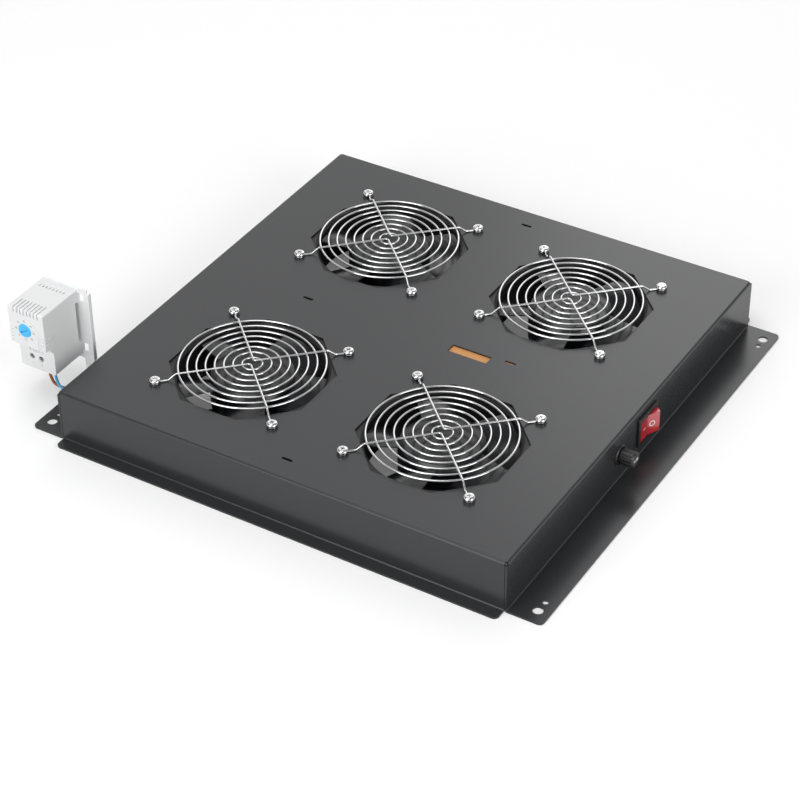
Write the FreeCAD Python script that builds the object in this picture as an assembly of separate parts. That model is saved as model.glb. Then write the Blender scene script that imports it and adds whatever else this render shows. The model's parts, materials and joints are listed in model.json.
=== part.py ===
import FreeCAD
import Part

import math
import os

from FreeCAD import Vector

# Rack fan tray: a folded steel tray that bolts over a cabinet's roof opening and carries four
# axial fans with finger guards, a lit rocker switch, a fuse holder, an appliance inlet and a
# wired thermostat on a small bracket.
# Millimetres. +Z up, front wall (switch, fuse) towards -Y, origin at the middle of the mounting
# hole pattern, on the underside of the flanges.

# ---------------------------------------------------------------- driving dimensions: tray
BODY_X = 396.0
BODY_Y = 384.0
BODY_Z = 44.0
SHEET = 1.5
BEND_OUT = 2.0
FLANGE_BEND_IN = 1.0
WIDE_FLANGE = 28.0
SIDE_FLANGE = 10.5
FLANGE_CORNER = 4.0
SEAM = 0.4
CORNER_RELIEF = 0.3

BIG_HOLE_D = 8.0
BIG_HOLE_OUT = 18.5
BIG_HOLE_IN = 12.0
SMALL_HOLE_D = 4.5
SMALL_HOLE_OUT = 19.0
SMALL_HOLE_IN = 22.0

TIE_SLOT_LONG = 9.3
TIE_SLOT_WIDE = 2.5
TIE_SLOT_SIDE = 178.0
TIE_SLOT_REAR = 97.0
TIE_SLOT_FRONT = (5.5, -81.0)
WINDOW_LONG = 33.5
WINDOW_WIDE = 9.0
WINDOW_Y = -48.7

# ---------------------------------------------------------------- driving dimensions: fans
FAN_PITCH_X = 198.0
FAN_PITCH_Y = 166.0
FAN_SIZE = 120.0
FAN_DEPTH = 38.0
FAN_HOLES = 105.0
FAN_CORNER = 6.0
FAN_FLANGE = 4.5
FAN_BORE_R = 57.6
FAN_BORE_WALL = 2.0
FAN_BELL = 2.2
FAN_OPENING = 119.5
HUB_R = 33.0
HUB_WALL = 2.0
HUB_ROUND = 4.0
HUB_DROP = 1.5
BLADES = 5
BLADE_SPAN_DEG = 60.0
BLADE_ROOT_RISE = 25.0
BLADE_TIP_RISE = 22.0
BLADE_THICK = 2.0
BLADE_CAMBER = 0.12
BLADE_REACH = 9.0
TIP_GAP = 1.2
CUP_WALL = 2.0
CUP_GAP = 0.2
CUP_HEIGHT = 25.0
SHAFT_R = 2.0
RUNNING_GAP = 0.05
BEARING_R = 5.0
BEARING_WIDE = 4.0
TUBE_WALL = 2.4
BASE_THICK = 5.0
STRUTS = 4
STRUT_WIDE = 6.0
STATOR_GAP = 1.2
STATOR_STACK = 12.0
STATOR_SLOTS = 8
STATOR_SLOT_WIDE = 3.0
COIL_RISE = 3.0

# ---------------------------------------------------------------- driving dimensions: guards
GUARD_WIRE = 1.6
GUARD_RINGS = 8
GUARD_OUTER_R = 56.0
GUARD_PITCH = 6.9
GUARD_RISE = 3.4
GUARD_WELD = 0.4
ROD_BEND_OFF = 2.2
JOGGLE_IN = 60.5
JOGGLE_OUT = 64.5

# ---------------------------------------------------------------- driving dimensions: fasteners
M4_R = 2.0
M4_CLEAR_R = 2.25
M4_HEAD_R = 4.0
M4_HEAD_RISE = 2.7
M4_NUT_AF = 7.0
M4_NUT_RISE = 3.2
M4_TAIL = 1.5
M3_R = 1.5
M3_CLEAR_R = 1.7
M3_HEAD_R = 2.8
M3_HEAD_RISE = 1.9
M3_NUT_AF = 5.5
M3_NUT_RISE = 2.4
M3_TAIL = 1.0
THREAD_GAP = 0.05
HEAD_CROWN = 0.35
SLOT_WIDE = 0.7
SLOT_DEEP = 0.8
OVERRUN = 1.0
NEAR = 0.01

# ---------------------------------------------------------------- driving dimensions: front wall
PANEL_Z = 24.0
SWITCH_X = 14.0
BEZEL_LONG = 30.6
BEZEL_TALL = 25.6
BEZEL_RISE = 2.2
BEZEL_CORNER = 1.6
BEZEL_CHAMFER = 0.5
SWITCH_BODY_LONG = 27.6
SWITCH_BODY_TALL = 21.6
SWITCH_DEPTH = 20.0
SWITCH_WALL = 0.95
CUTOUT_GAP = 0.2
ROCKER_GAP = 0.3
ROCKER_TALL = 18.0
ROCKER_PIVOT = 2.0
ROCKER_THROW = 13.0
ROCKER_END = 31.5
ROCKER_TAIL_DEG = -22.0
ROCKER_VALLEY = 2.0
ROCKER_FOOT_HALF = 4.0
ROCKER_FOOT = 8.5
ROCKER_ROOM = 1.3
TRUNNION_R = 1.6
TRUNNION_LONG = 1.2
TAB_WIDE = 6.3
TAB_THICK = 0.8
TAB_LONG = 9.0
TAB_HOLE_R = 0.9
TAB_HOLE_UP = 3.0
WING_OUT = 1.0

FUSE_X = -29.0
FUSE_FLANGE_R = 8.25
FUSE_FLANGE = 1.6
FUSE_BARREL_R = 6.3
FUSE_BORE_R = 4.2
FUSE_DEPTH = 30.0
FUSE_FLOOR = 3.0
FUSE_NUT_AF = 17.0
FUSE_NUT = 3.5
FUSE_CAP_R = 6.5
FUSE_CAP_LONG = 11.5
FUSE_CAP_GAP = 0.3
FUSE_CAP_EDGE = 0.6
FUSE_CAP_ROUND = 1.2
FUSE_CAP_SKIRT = 2.0
FUSE_FLUTES = 14
FUSE_FLUTE_R = 0.7
FUSE_TAB_WIDE = 3.0
FUSE_TAB_LONG = 6.0
FUSE_STEM_R = 1.5
CARRIER_LONG = 12.0
CARRIER_TOP = 2.3
FUSE_R = 2.6
FUSE_GLASS_R = 2.4
FUSE_LONG = 20.0
FUSE_END_CAP = 5.5

# ---------------------------------------------------------------- driving dimensions: rear wall
INLET_X = 70.0
INLET_Z = 22.0
INLET_PLATE_LONG = 50.0
INLET_PLATE_TALL = 23.0
INLET_PLATE = 3.0
INLET_BODY_LONG = 27.4
INLET_BODY_TALL = 19.6
INLET_SOCKET_LONG = 24.4
INLET_SOCKET_TALL = 16.4
INLET_SOCKET_DEEP = 16.0
INLET_DEPTH = 20.0
INLET_CHAMFER = 4.5
INLET_SCREWS = 40.0
PIN_LONG = 4.0
PIN_THICK = 2.0
PIN_PITCH = 14.0
PIN_EARTH_UP = 4.0
PIN_SHY = 3.0

GROMMET_X = -150.0
GROMMET_Z = 9.0
GROMMET_HOLE_R = 4.8
GROMMET_RIM_R = 6.4
GROMMET_RIM = 1.6
GROMMET_ROUND = 0.6
GROMMET_GROOVE_GAP = 0.1

# ---------------------------------------------------------------- driving dimensions: under the plate
BOARD_X = 36.0
BOARD_Y = 70.0
BOARD = 1.6
BOARD_STUD_Y = 29.0
BOARD_STUD_LONG = 8.0
BLOCK_POLES = 5
BLOCK_PITCH = 9.0
BLOCK_DEEP = 17.0
BLOCK_TALL = 13.0
BLOCK_PORT_R = 2.0
BLOCK_PORT_DOWN = 4.33
BLOCK_SCREW_R = 2.2
BLOCK_SCREW_IN = 4.5
BLOCK_SCREW_SINK = 1.5
BLOCK_END = 1.0
BLOCK_GROOVE = 1.2
BLOCK_GROOVE_DEEP = 4.0
LEAD_BLOCK_Y = 153.0
EARTH_X = 0.0
EARTH_Y = 60.0
EARTH_LONG = 14.0
EARTH_NUT_STEP = 5.0

# ---------------------------------------------------------------- driving dimensions: thermostat
THERMO_W = 33.0
THERMO_H = 60.0
THERMO_D = 43.0
THERMO_OUT = 45.5
THERMO_Z = 26.0
THERMO_WALL = 1.8
THERMO_BASE = 8.0
THERMO_STEP_Y = 27.0
THERMO_SETBACK = 8.5
THERMO_SHOULDER = 6.0
THERMO_SHOULDER_LIFT = 2.2
THERMO_ROUND = 1.5
VENT_COUNT = 8
VENT_PITCH = 3.2
VENT_WIDE = 1.1
VENT_DEEP = 1.0
VENT_TOP_LONG = 12.0
VENT_FRONT_LONG = 5.0
VENT_REAR_LONG = 3.0
RIB_COUNT = 4
RIB_PITCH = 3.2
RIB_LONG = 11.0
RIB_START = 1.5
RIB_GAP = 1.0
LOUVRE_COUNT = 5
LOUVRE_PITCH = 3.0
LOUVRE_LONG = 5.0
LOUVRE_WIDE = 0.8
LOUVRE_LEAN_DEG = -65.0
LOUVRE_UP = 19.0
DIAL_X = -1.5
DIAL_UP = 41.5
DIAL_R = 5.7
DIAL_PROUD = 1.0
DIAL_FLANGE = 1.0
DIAL_STEM_R = 2.5
DIAL_EDGE = 0.5
DIAL_SOCKET_WALL = 2.0
DIAL_SLOT_LONG = 8.0
DIAL_SLOT_WIDE = 1.3
DIAL_SLOT_DEEP = 0.9
DIAL_SETTING_DEG = 35.0
ARCH_HALF = 11.5
ARCH_RISE = 0.5
TERMINAL_PITCH = 8.8
TERMINAL_X = -1.0
TERMINAL_UP = 11.0
TERMINAL_HOLE_R = 2.4
TERMINAL_SCREW_R = 2.1
TERMINAL_SINK = 1.5
TERMINAL_SCREW_LONG = 8.0
RAIL_HALF = 17.5
RAIL_LIP = 1.0
RAIL_OFFSET = 2.2
RAIL_LIP_LONG = 24.0
RAIL_GAP = 0.3
RAIL_HOOK = 1.5
CLIP_WIDE = 12.0
CLIP_THICK = 2.0
CLIP_TAIL = 5.0
CLIP_RIM = 1.0
CLIP_HOLE_WIDE = 4.0

# ---------------------------------------------------------------- driving dimensions: bracket
BRACKET_X = -129.0
BRACKET_SHEET = 1.5
BRACKET_EDGE = 10.0
BRACKET_OVER = 1.5
BRACKET_FOOT = 16.0
BRACKET_LIP = 3.5
BRACKET_LIP_DROP = 4.0
BRACKET_UNDER = 4.0
BRACKET_SLOT_WIDE = 5.0
BRACKET_SLOT_TALL = 7.0
BRACKET_SLOT_IN = 7.0
BRACKET_SLOT_PITCH = 46.0

# ---------------------------------------------------------------- driving dimensions: wires
WIRE_D = 2.4
WIRE_SPREAD = 3.4
BROWN_ROUTE = [
    (-158.0, 232.5, 30.5),
    (-158.0, 232.5, 19.0),
    (-156.8, 228.5, 9.6),
    (-151.8, 216.5, 7.0),
    (-148.3, 203.0, 9.0),
    (-148.3, 183.0, 9.0),
    (-147.3, 175.0, 17.0),
    (-146.2, 172.5, 29.0),
    (-145.5, 166.0, 38.17),
    (-145.5, 155.0, 38.17),
]
BLUE_ROUTE = [
    (-158.0, 227.5, 30.5),
    (-158.0, 227.5, 19.5),
    (-158.6, 221.5, 9.4),
    (-155.5, 211.0, 7.6),
    (-151.7, 202.0, 9.0),
    (-151.7, 183.0, 9.0),
    (-152.4, 176.0, 17.0),
    (-153.6, 173.5, 29.0),
    (-154.5, 166.0, 38.17),
    (-154.5, 156.0, 38.17),
]
ARC_SHARE = 0.48

# ---------------------------------------------------------------- values that follow
HALF_X = BODY_X / 2
HALF_Y = BODY_Y / 2
PLATE_Z = BODY_Z - SHEET
FAN_CENTRES = [
    ("rear_right", FAN_PITCH_X / 2, FAN_PITCH_Y / 2, 10.0),
    ("front_right", FAN_PITCH_X / 2, -FAN_PITCH_Y / 2, 31.0),
    ("rear_left", -FAN_PITCH_X / 2, FAN_PITCH_Y / 2, 52.0),
    ("front_left", -FAN_PITCH_X / 2, -FAN_PITCH_Y / 2, 24.0),
]
TIP_R = FAN_BORE_R - TIP_GAP
CUP_R = HUB_R - HUB_WALL - CUP_GAP
CUP_TOP = -HUB_DROP - HUB_WALL - CUP_GAP
BASE_TOP = BASE_THICK - FAN_DEPTH
TUBE_R = BEARING_R + TUBE_WALL
THERMO_Y = HALF_Y + THERMO_OUT
TERMINAL_TOP = THERMO_D - THERMO_SETBACK - THERMO_WALL - TERMINAL_SINK
DIAL_LOW = THERMO_D - THERMO_WALL - DIAL_FLANGE


# ---------------------------------------------------------------- shape helpers
def block(x, y, z):
    """Box from three (low, high) pairs."""
    return Part.makeBox(x[1] - x[0], y[1] - y[0], z[1] - z[0], Vector(x[0], y[0], z[0]))


def disc(radius, low, high, x=0.0, y=0.0):
    """Upright cylinder from z low to z high."""
    return Part.makeCylinder(radius, high - low, Vector(x, y, low))


def ring(outer, inner, low, high, x=0.0, y=0.0):
    """Upright tube."""
    return disc(outer, low, high, x, y).cut(disc(inner, low, high, x, y))


def turned(outline):
    """Solid of revolution about Z from (radius, z) points."""
    points = [Vector(r, 0, z) for r, z in outline]
    face = Part.Face(Part.makePolygon(points + points[:1]))
    return face.revolve(Vector(0, 0, 0), Vector(0, 0, 1), 360)


def prism(outline, low, high):
    """Upright prism over (x, y) points."""
    points = [Vector(x, y, low) for x, y in outline]
    return Part.Face(Part.makePolygon(points + points[:1])).extrude(Vector(0, 0, high - low))


def regular(sides, across, low, high, x=0.0, y=0.0):
    """Upright regular prism, flats facing the axes, from its size across flats."""
    radius = across / 2 / math.cos(math.pi / sides)
    turns = [(i + 0.5) * 2 * math.pi / sides for i in range(sides)]
    return prism([(x + radius * math.cos(t), y + radius * math.sin(t)) for t in turns], low, high)


def rounded(long, tall, low, high, corner):
    """Upright slab centred on the Z axis with rounded corners."""
    slab = block((-long / 2, long / 2), (-tall / 2, tall / 2), (low, high))
    return slab.makeFillet(corner, [e for e in slab.Edges if is_along(e, "z")])


def slot(long, wide, low, high, x, y):
    """Round-ended slot cutter, long along Y."""
    reach = (long - wide) / 2
    body = block((x - wide / 2, x + wide / 2), (y - reach, y + reach), (low, high))
    ends = [disc(wide / 2, low, high, x, y + side * reach) for side in (-1, 1)]
    return body.fuse(ends)


def is_along(edge, axis):
    """True for a straight edge along the named axis."""
    box = edge.BoundBox
    spans = {"x": box.XLength, "y": box.YLength, "z": box.ZLength}
    return spans.pop(axis) > 1e-6 and max(spans.values()) < 1e-6


def fused(shapes):
    """One solid from overlapping or touching shapes."""
    return shapes[0].fuse(shapes[1:]).removeSplitter()


def four(x, y):
    """The four (x, y) corners of a centred rectangle, from its half sizes."""
    return [(sx * x, sy * y) for sx in (1, -1) for sy in (1, -1)]


def moved(shape, x=0.0, y=0.0, z=0.0):
    copy = shape.copy()
    copy.translate(Vector(x, y, z))
    return copy


def spun(shape, degrees):
    copy = shape.copy()
    copy.rotate(Vector(0, 0, 0), Vector(0, 0, 1), degrees)
    return copy


def on_front(shape, x, z):
    """Stand a part, drawn facing +Z with Y up, on the outside of the front wall."""
    copy = shape.copy()
    copy.rotate(Vector(0, 0, 0), Vector(1, 0, 0), 90)
    copy.translate(Vector(x, -HALF_Y, z))
    return copy


def on_rear(shape, x, z):
    """The same on the outside of the rear wall."""
    copy = shape.copy()
    copy.rotate(Vector(0, 0, 0), Vector(1, 0, 0), 90)
    copy.rotate(Vector(0, 0, 0), Vector(0, 0, 1), 180)
    copy.translate(Vector(x, HALF_Y, z))
    return copy


def on_bracket(shape):
    """Stand a thermostat part, drawn facing +Z with Y up from its foot, on the bracket."""
    copy = shape.copy()
    copy.rotate(Vector(0, 0, 0), Vector(1, 0, 0), 90)
    copy.rotate(Vector(0, 0, 0), Vector(0, 0, 1), -90)
    copy.translate(Vector(BRACKET_X, THERMO_Y, THERMO_Z))
    return copy


def in_fan(shape, x, y):
    """Hang a fan part, drawn with its mounting face at z 0, under the plate."""
    return moved(shape, x, y, PLATE_Z)


def pan_screw(radius, head_r, head_rise, length):
    """Pan-head screw along Z, head seat at z 0."""
    crown = HEAD_CROWN * head_rise
    return turned([
        (0, -length), (radius, -length), (radius, 0), (head_r, 0), (head_r, head_rise - crown),
        (head_r - crown, head_rise), (0, head_rise),
    ])


def hex_nut(across, rise, radius):
    """Hexagon nut standing on z 0 round a shank."""
    return regular(6, across, 0, rise).cut(disc(radius + THREAD_GAP, 0, rise))


# ---------------------------------------------------------------- tray
def wall_strip(reach, flange, length):
    """Folded edge of the tray along Y: plate edge, wall and outward flange, on the +X side."""
    top = Vector(reach - BEND_OUT, 0, BODY_Z - BEND_OUT)
    foot = Vector(reach + FLANGE_BEND_IN, 0, SHEET + FLANGE_BEND_IN)

    def at(centre, radius, degrees):
        turn = math.radians(degrees)
        return centre + Vector(radius * math.cos(turn), 0, radius * math.sin(turn))

    def arc(centre, radius, first, last):
        mid = (first + last) / 2
        ends = [at(centre, radius, turn) for turn in (first, mid, last)]
        return Part.Arc(*ends).toShape()

    outside = [
        arc(top, BEND_OUT, 90, 0),
        arc(foot, FLANGE_BEND_IN, 180, 270),
    ]
    inside = [
        arc(foot, FLANGE_BEND_IN + SHEET, 270, 180),
        arc(top, BEND_OUT - SHEET, 0, 90),
    ]
    tip_top = Vector(reach + flange, 0, SHEET)
    tip_low = Vector(reach + flange, 0, 0)
    ends = [
        at(top, BEND_OUT, 0), at(foot, FLANGE_BEND_IN, 180),
        at(foot, FLANGE_BEND_IN, 270), tip_top,
        tip_top, tip_low,
        tip_low, at(foot, FLANGE_BEND_IN + SHEET, 270),
        at(foot, FLANGE_BEND_IN + SHEET, 180), at(top, BEND_OUT - SHEET, 0),
        at(top, BEND_OUT - SHEET, 90), at(top, BEND_OUT, 90),
    ]
    lines = [Part.LineSegment(a, b).toShape() for a, b in zip(ends[::2], ends[1::2])]
    wire = Part.Wire(Part.__sortEdges__(outside + inside + lines))
    strip = Part.Face(wire).extrude(Vector(0, length, 0))
    strip.translate(Vector(0, -length / 2, 0))
    tips = [e for e in strip.Edges if is_along(e, "z") and e.BoundBox.XMin > reach + flange - NEAR]
    return strip.makeFillet(FLANGE_CORNER, tips)


def folded_blank():
    """The tray before its holes: plate and four folded edges, with a notch at each top corner."""
    half_x, half_y = HALF_X - BEND_OUT, HALF_Y - BEND_OUT
    plate = block((-half_x, half_x), (-half_y, half_y), (PLATE_Z, BODY_Z))
    side = wall_strip(HALF_X, SIDE_FLANGE, BODY_Y - 2 * (SHEET + SEAM))
    front = wall_strip(HALF_Y, WIDE_FLANGE, BODY_X)
    strips = []
    for strip, turn in ((side, 0), (front, 90), (side, 180), (front, 270)):
        strips.append(spun(strip, turn))
    notch = BEND_OUT + CORNER_RELIEF
    cube = block((-notch, notch), (-notch, notch), (BODY_Z - notch, BODY_Z + OVERRUN))
    cutters = [moved(cube, x, y) for x, y in four(HALF_X, HALF_Y)]
    cut_strips = [s.cut(cutters) for s in strips]
    return fused([plate.cut(cutters)] + cut_strips)


def plate_cutters():
    """Everything punched through the top plate."""
    low, high = PLATE_Z - OVERRUN, BODY_Z + OVERRUN
    corner = FAN_HOLES / 2
    tools = []
    for _, x, y, _ in FAN_CENTRES:
        tools.append(regular(8, FAN_OPENING, low, high, x, y))
        tools += [disc(M4_CLEAR_R, low, high, x + dx, y + dy) for dx, dy in four(corner, corner)]
    places = [(TIE_SLOT_SIDE, 0), (-TIE_SLOT_SIDE, 0), (0, TIE_SLOT_REAR), TIE_SLOT_FRONT]
    tools += [slot(TIE_SLOT_LONG, TIE_SLOT_WIDE, low, high, x, y) for x, y in places]
    tools.append(block((-WINDOW_WIDE / 2, WINDOW_WIDE / 2),
                       (WINDOW_Y - WINDOW_LONG / 2, WINDOW_Y + WINDOW_LONG / 2), (low, high)))
    return tools


def flange_cutters():
    """Mounting holes through the wide flanges, and the bracket's screw holes."""
    low, high = -OVERRUN, SHEET + OVERRUN
    tools = [disc(BIG_HOLE_D / 2, low, high, x, y)
             for x, y in four(HALF_X - BIG_HOLE_IN, HALF_Y + BIG_HOLE_OUT)]
    tools += [disc(SMALL_HOLE_D / 2, low, high, x, y)
              for x, y in four(HALF_X - SMALL_HOLE_IN, HALF_Y + SMALL_HOLE_OUT)]
    tools.append(disc(M4_CLEAR_R, low, high, *bracket_screw_place()))
    return tools


def wall_cutters():
    """Cut-outs for what sits in the front and rear walls."""
    through = (-SHEET - OVERRUN, OVERRUN)
    gap = 2 * CUTOUT_GAP
    long, tall = SWITCH_BODY_LONG + gap, SWITCH_BODY_TALL + gap
    switch = block((-long / 2, long / 2), (-tall / 2, tall / 2), through)
    fuse = disc(FUSE_BARREL_R + CUTOUT_GAP, *through)
    long, tall = INLET_BODY_LONG + gap, INLET_BODY_TALL + gap
    inlet = block((-long / 2, long / 2), (-tall / 2, tall / 2), through)
    screws = [disc(M3_CLEAR_R, *through, side * INLET_SCREWS / 2) for side in (1, -1)]
    return [
        on_front(switch, SWITCH_X, PANEL_Z),
        on_front(fuse, FUSE_X, PANEL_Z),
        on_rear(inlet.fuse(screws), INLET_X, INLET_Z),
        on_rear(disc(GROMMET_HOLE_R, *through), GROMMET_X, GROMMET_Z),
    ]


def tray_shell():
    return folded_blank().cut(plate_cutters() + flange_cutters() + wall_cutters())


# ---------------------------------------------------------------- fans
def fan_frame():
    """Die-cast square frame with bell-mouthed bore, motor seat, bearing tube and struts."""
    flat = rounded(FAN_SIZE, FAN_SIZE, -FAN_DEPTH, 0, FAN_CORNER)
    waist = rounded(FAN_SIZE, FAN_SIZE, FAN_FLANGE - FAN_DEPTH, -FAN_FLANGE, FAN_CORNER)
    barrel = disc(FAN_BORE_R + FAN_BORE_WALL, -FAN_DEPTH, 0)
    body = flat.cut(waist).fuse(barrel)
    mouth_r = FAN_BORE_R + FAN_BELL
    body = body.cut(turned([
        (0, 0), (mouth_r, 0), (FAN_BORE_R, -FAN_BELL), (FAN_BORE_R, FAN_BELL - FAN_DEPTH),
        (mouth_r, -FAN_DEPTH), (0, -FAN_DEPTH),
    ]))
    side, corner = FAN_SIZE / 2, FAN_HOLES / 2
    body = body.common(block((-side, side), (-side, side), (-FAN_DEPTH, 0)))
    body = body.cut([disc(M4_CLEAR_R, -FAN_DEPTH, 0, x, y) for x, y in four(corner, corner)])
    seat = disc(CUP_R, -FAN_DEPTH, BASE_TOP)
    tube = disc(TUBE_R, BASE_TOP, CUP_TOP - CUP_WALL - STATOR_GAP)
    arms = []
    for i in range(STRUTS):
        arm = block((HUB_R / 2, FAN_BORE_R + FAN_BORE_WALL / 2), (-STRUT_WIDE / 2, STRUT_WIDE / 2),
                    (-FAN_DEPTH, BASE_TOP))
        arms.append(spun(arm, 45 + i * 360 / STRUTS))
    bore = disc(BEARING_R, BASE_THICK / 2 - FAN_DEPTH, 0)
    return fused([body, seat, tube] + arms).cut(bore)


def stator():
    """Laminated core with coil ends, pressed over the bearing tube."""
    outer = CUP_R - CUP_WALL - STATOR_GAP
    low = BASE_TOP + COIL_RISE + STATOR_GAP
    core = ring(outer, TUBE_R, low, low + STATOR_STACK)
    for i in range(STATOR_SLOTS):
        gap = block((outer - STATOR_SLOT_WIDE, outer), (-STATOR_SLOT_WIDE / 4, STATOR_SLOT_WIDE / 4),
                    (low, low + STATOR_STACK))
        core = core.cut(spun(gap, i * 360 / STATOR_SLOTS))
    coil_in, coil_out = TUBE_R + STATOR_GAP, outer - STATOR_SLOT_WIDE
    coils = ring(coil_out, coil_in, low - COIL_RISE, low + STATOR_STACK + COIL_RISE)
    return fused([core, coils])


def bearing_heights():
    """Low edges of the two bearings in the tube."""
    return BASE_TOP + STATOR_GAP, CUP_TOP - CUP_WALL - STATOR_GAP - BEARING_WIDE


def bearings():
    """The two bearings of one fan."""
    return [ring(BEARING_R, SHAFT_R + RUNNING_GAP, low, low + BEARING_WIDE) for low in bearing_heights()]


def shaft():
    return disc(SHAFT_R, BASE_THICK / 2 - FAN_DEPTH + STATOR_GAP, CUP_TOP - CUP_WALL / 2)


def rotor_cup():
    """Steel rotor cup, open downwards, with the shaft pressed into its boss."""
    low = CUP_TOP - CUP_HEIGHT
    inner_r = CUP_R - CUP_WALL
    shell = turned([
        (0, CUP_TOP), (CUP_R - CUP_WALL / 2, CUP_TOP), (CUP_R, CUP_TOP - CUP_WALL / 2), (CUP_R, low),
        (inner_r, low), (inner_r, CUP_TOP - CUP_WALL), (0, CUP_TOP - CUP_WALL),
    ])
    return shell.cut(disc(SHAFT_R, low, CUP_TOP - CUP_WALL / 2))


def blade_section(radius, rise, x):
    """Thin cambered section of a blade, square to X, as four edges."""
    sweep = radius * math.radians(BLADE_SPAN_DEG) / 2
    chord = math.hypot(2 * sweep, rise)
    along = Vector(0, 2 * sweep / chord, rise / chord)
    across = Vector(0, -rise / chord, 2 * sweep / chord)
    middle = Vector(x, 0, 0)
    bulge = BLADE_CAMBER * chord
    edge = BLADE_THICK / 4

    def point(run, lift):
        return middle + along * (run * chord / 2) + across * lift

    upper = Part.Arc(point(-1, edge), point(0, bulge + BLADE_THICK / 2), point(1, edge)).toShape()
    nose = Part.LineSegment(point(1, edge), point(1, -edge)).toShape()
    lower = Part.Arc(point(1, -edge), point(0, bulge - BLADE_THICK / 2), point(-1, -edge)).toShape()
    tail = Part.LineSegment(point(-1, -edge), point(-1, edge)).toShape()
    return Part.Wire([upper, nose, lower, tail])


def impeller():
    """Moulded hub shell with its ring of swept, twisted blades."""
    top = -HUB_DROP
    low = CUP_TOP - CUP_HEIGHT
    inner_r = HUB_R - HUB_WALL
    shell = turned([
        (0, top), (HUB_R - HUB_ROUND, top), (HUB_R - HUB_ROUND / 3, top - HUB_ROUND / 3),
        (HUB_R, top - HUB_ROUND), (HUB_R, low), (inner_r, low), (inner_r, top - HUB_WALL),
        (0, top - HUB_WALL),
    ])
    middle = (top - HUB_ROUND / 2 + low) / 2
    root = blade_section(HUB_R, BLADE_ROOT_RISE, inner_r - BLADE_REACH)
    tip = blade_section(TIP_R, BLADE_TIP_RISE, TIP_R + BLADE_REACH)
    blade = Part.makeLoft([root, tip], True, True)
    blade.translate(Vector(0, 0, middle))
    blade = blade.common(ring(TIP_R, HUB_R - HUB_WALL / 2, low - BLADE_TIP_RISE, 0))
    return fused([shell] + [spun(blade, i * 360 / BLADES) for i in range(BLADES)])


# ---------------------------------------------------------------- finger guards
def guard_half_rod(stop, high):
    """Half of a V rod along +X from its bend: over the rings, then down beside an eye."""
    low, half = GUARD_WIRE / 2, GUARD_WIRE / 2
    centre = [(0, high), (JOGGLE_IN, high), (JOGGLE_OUT, low), (stop, low)]
    outline = [(run, z + half) for run, z in centre] + [(run, z - half) for run, z in reversed(centre)]
    points = [Vector(run, -half, z) for run, z in outline]
    return Part.Face(Part.makePolygon(points + points[:1])).extrude(Vector(0, GUARD_WIRE, 0))


def finger_guard():
    """Welded wire guard: concentric rings, two V rods over them and four eyes."""
    low = GUARD_RISE
    rings = [
        ring(r + GUARD_WIRE / 2, r - GUARD_WIRE / 2, low, low + GUARD_WIRE)
        for r in (GUARD_OUTER_R - i * GUARD_PITCH for i in range(GUARD_RINGS))
    ]
    corner = FAN_HOLES / 2
    eye_r = M4_CLEAR_R + GUARD_WIRE
    lean = math.degrees(math.atan2(corner, corner - ROD_BEND_OFF))
    stop = math.hypot(corner - ROD_BEND_OFF, corner) - eye_r + GUARD_WIRE / 2
    high = low + 1.5 * GUARD_WIRE - GUARD_WELD
    half_rod = guard_half_rod(stop, high)
    rods = []
    for turn in (0, 180):
        bend = disc(GUARD_WIRE / 2, high - GUARD_WIRE / 2, high + GUARD_WIRE / 2)
        pieces = [spun(half_rod, lean), spun(half_rod, -lean), bend]
        rods += [spun(moved(piece, ROD_BEND_OFF), turn) for piece in pieces]
    eyes = [ring(eye_r, M4_CLEAR_R, 0, GUARD_WIRE, x, y) for x, y in four(corner, corner)]
    return moved(fused(rings + rods + eyes), z=SHEET)


def guard_screw():
    length = GUARD_WIRE + SHEET + FAN_FLANGE + M4_NUT_RISE + M4_TAIL
    screw = pan_screw(M4_R, M4_HEAD_R, M4_HEAD_RISE, length)
    return moved(screw, z=SHEET + GUARD_WIRE)


def guard_nut():
    return moved(hex_nut(M4_NUT_AF, M4_NUT_RISE, M4_R), z=-FAN_FLANGE - M4_NUT_RISE)


# ---------------------------------------------------------------- rocker switch
def switch_housing():
    """Snap-in bezel and body with the rocker's well and bearing holes."""
    bezel = rounded(BEZEL_LONG, BEZEL_TALL, 0, BEZEL_RISE, BEZEL_CORNER)
    rim = [e for e in bezel.Edges if e.BoundBox.ZMin > BEZEL_RISE - NEAR]
    bezel = bezel.makeChamfer(BEZEL_CHAMFER, rim)
    half_long, half_tall = SWITCH_BODY_LONG / 2, SWITCH_BODY_TALL / 2
    body = block((-half_long, half_long), (-half_tall, half_tall), (-SWITCH_DEPTH, 0))
    well_long = SWITCH_BODY_LONG - 2 * SWITCH_WALL
    well_tall = ROCKER_TALL + 2 * ROCKER_GAP
    well = block((-well_long / 2, well_long / 2), (-well_tall / 2, well_tall / 2),
                 (-ROCKER_PIVOT - ROCKER_FOOT - ROCKER_ROOM, BEZEL_RISE))
    reach = well_tall / 2 + TRUNNION_LONG
    start = Vector(0, -reach, -ROCKER_PIVOT)
    bearing = Part.makeCylinder(TRUNNION_R + RUNNING_GAP, 2 * reach, start, Vector(0, 1, 0))
    wings = []
    shelf = -SHEET - CUTOUT_GAP
    for side in (1, -1):
        y = side * half_tall
        corners = [(y, shelf), (y + side * WING_OUT, shelf), (y, -SWITCH_DEPTH / 2), (y, shelf)]
        wing = Part.Face(Part.makePolygon([Vector(-TAB_WIDE / 2, *corner) for corner in corners]))
        wings.append(wing.extrude(Vector(TAB_WIDE, 0, 0)))
    return fused([bezel, body] + wings).cut([well, bearing])


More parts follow.
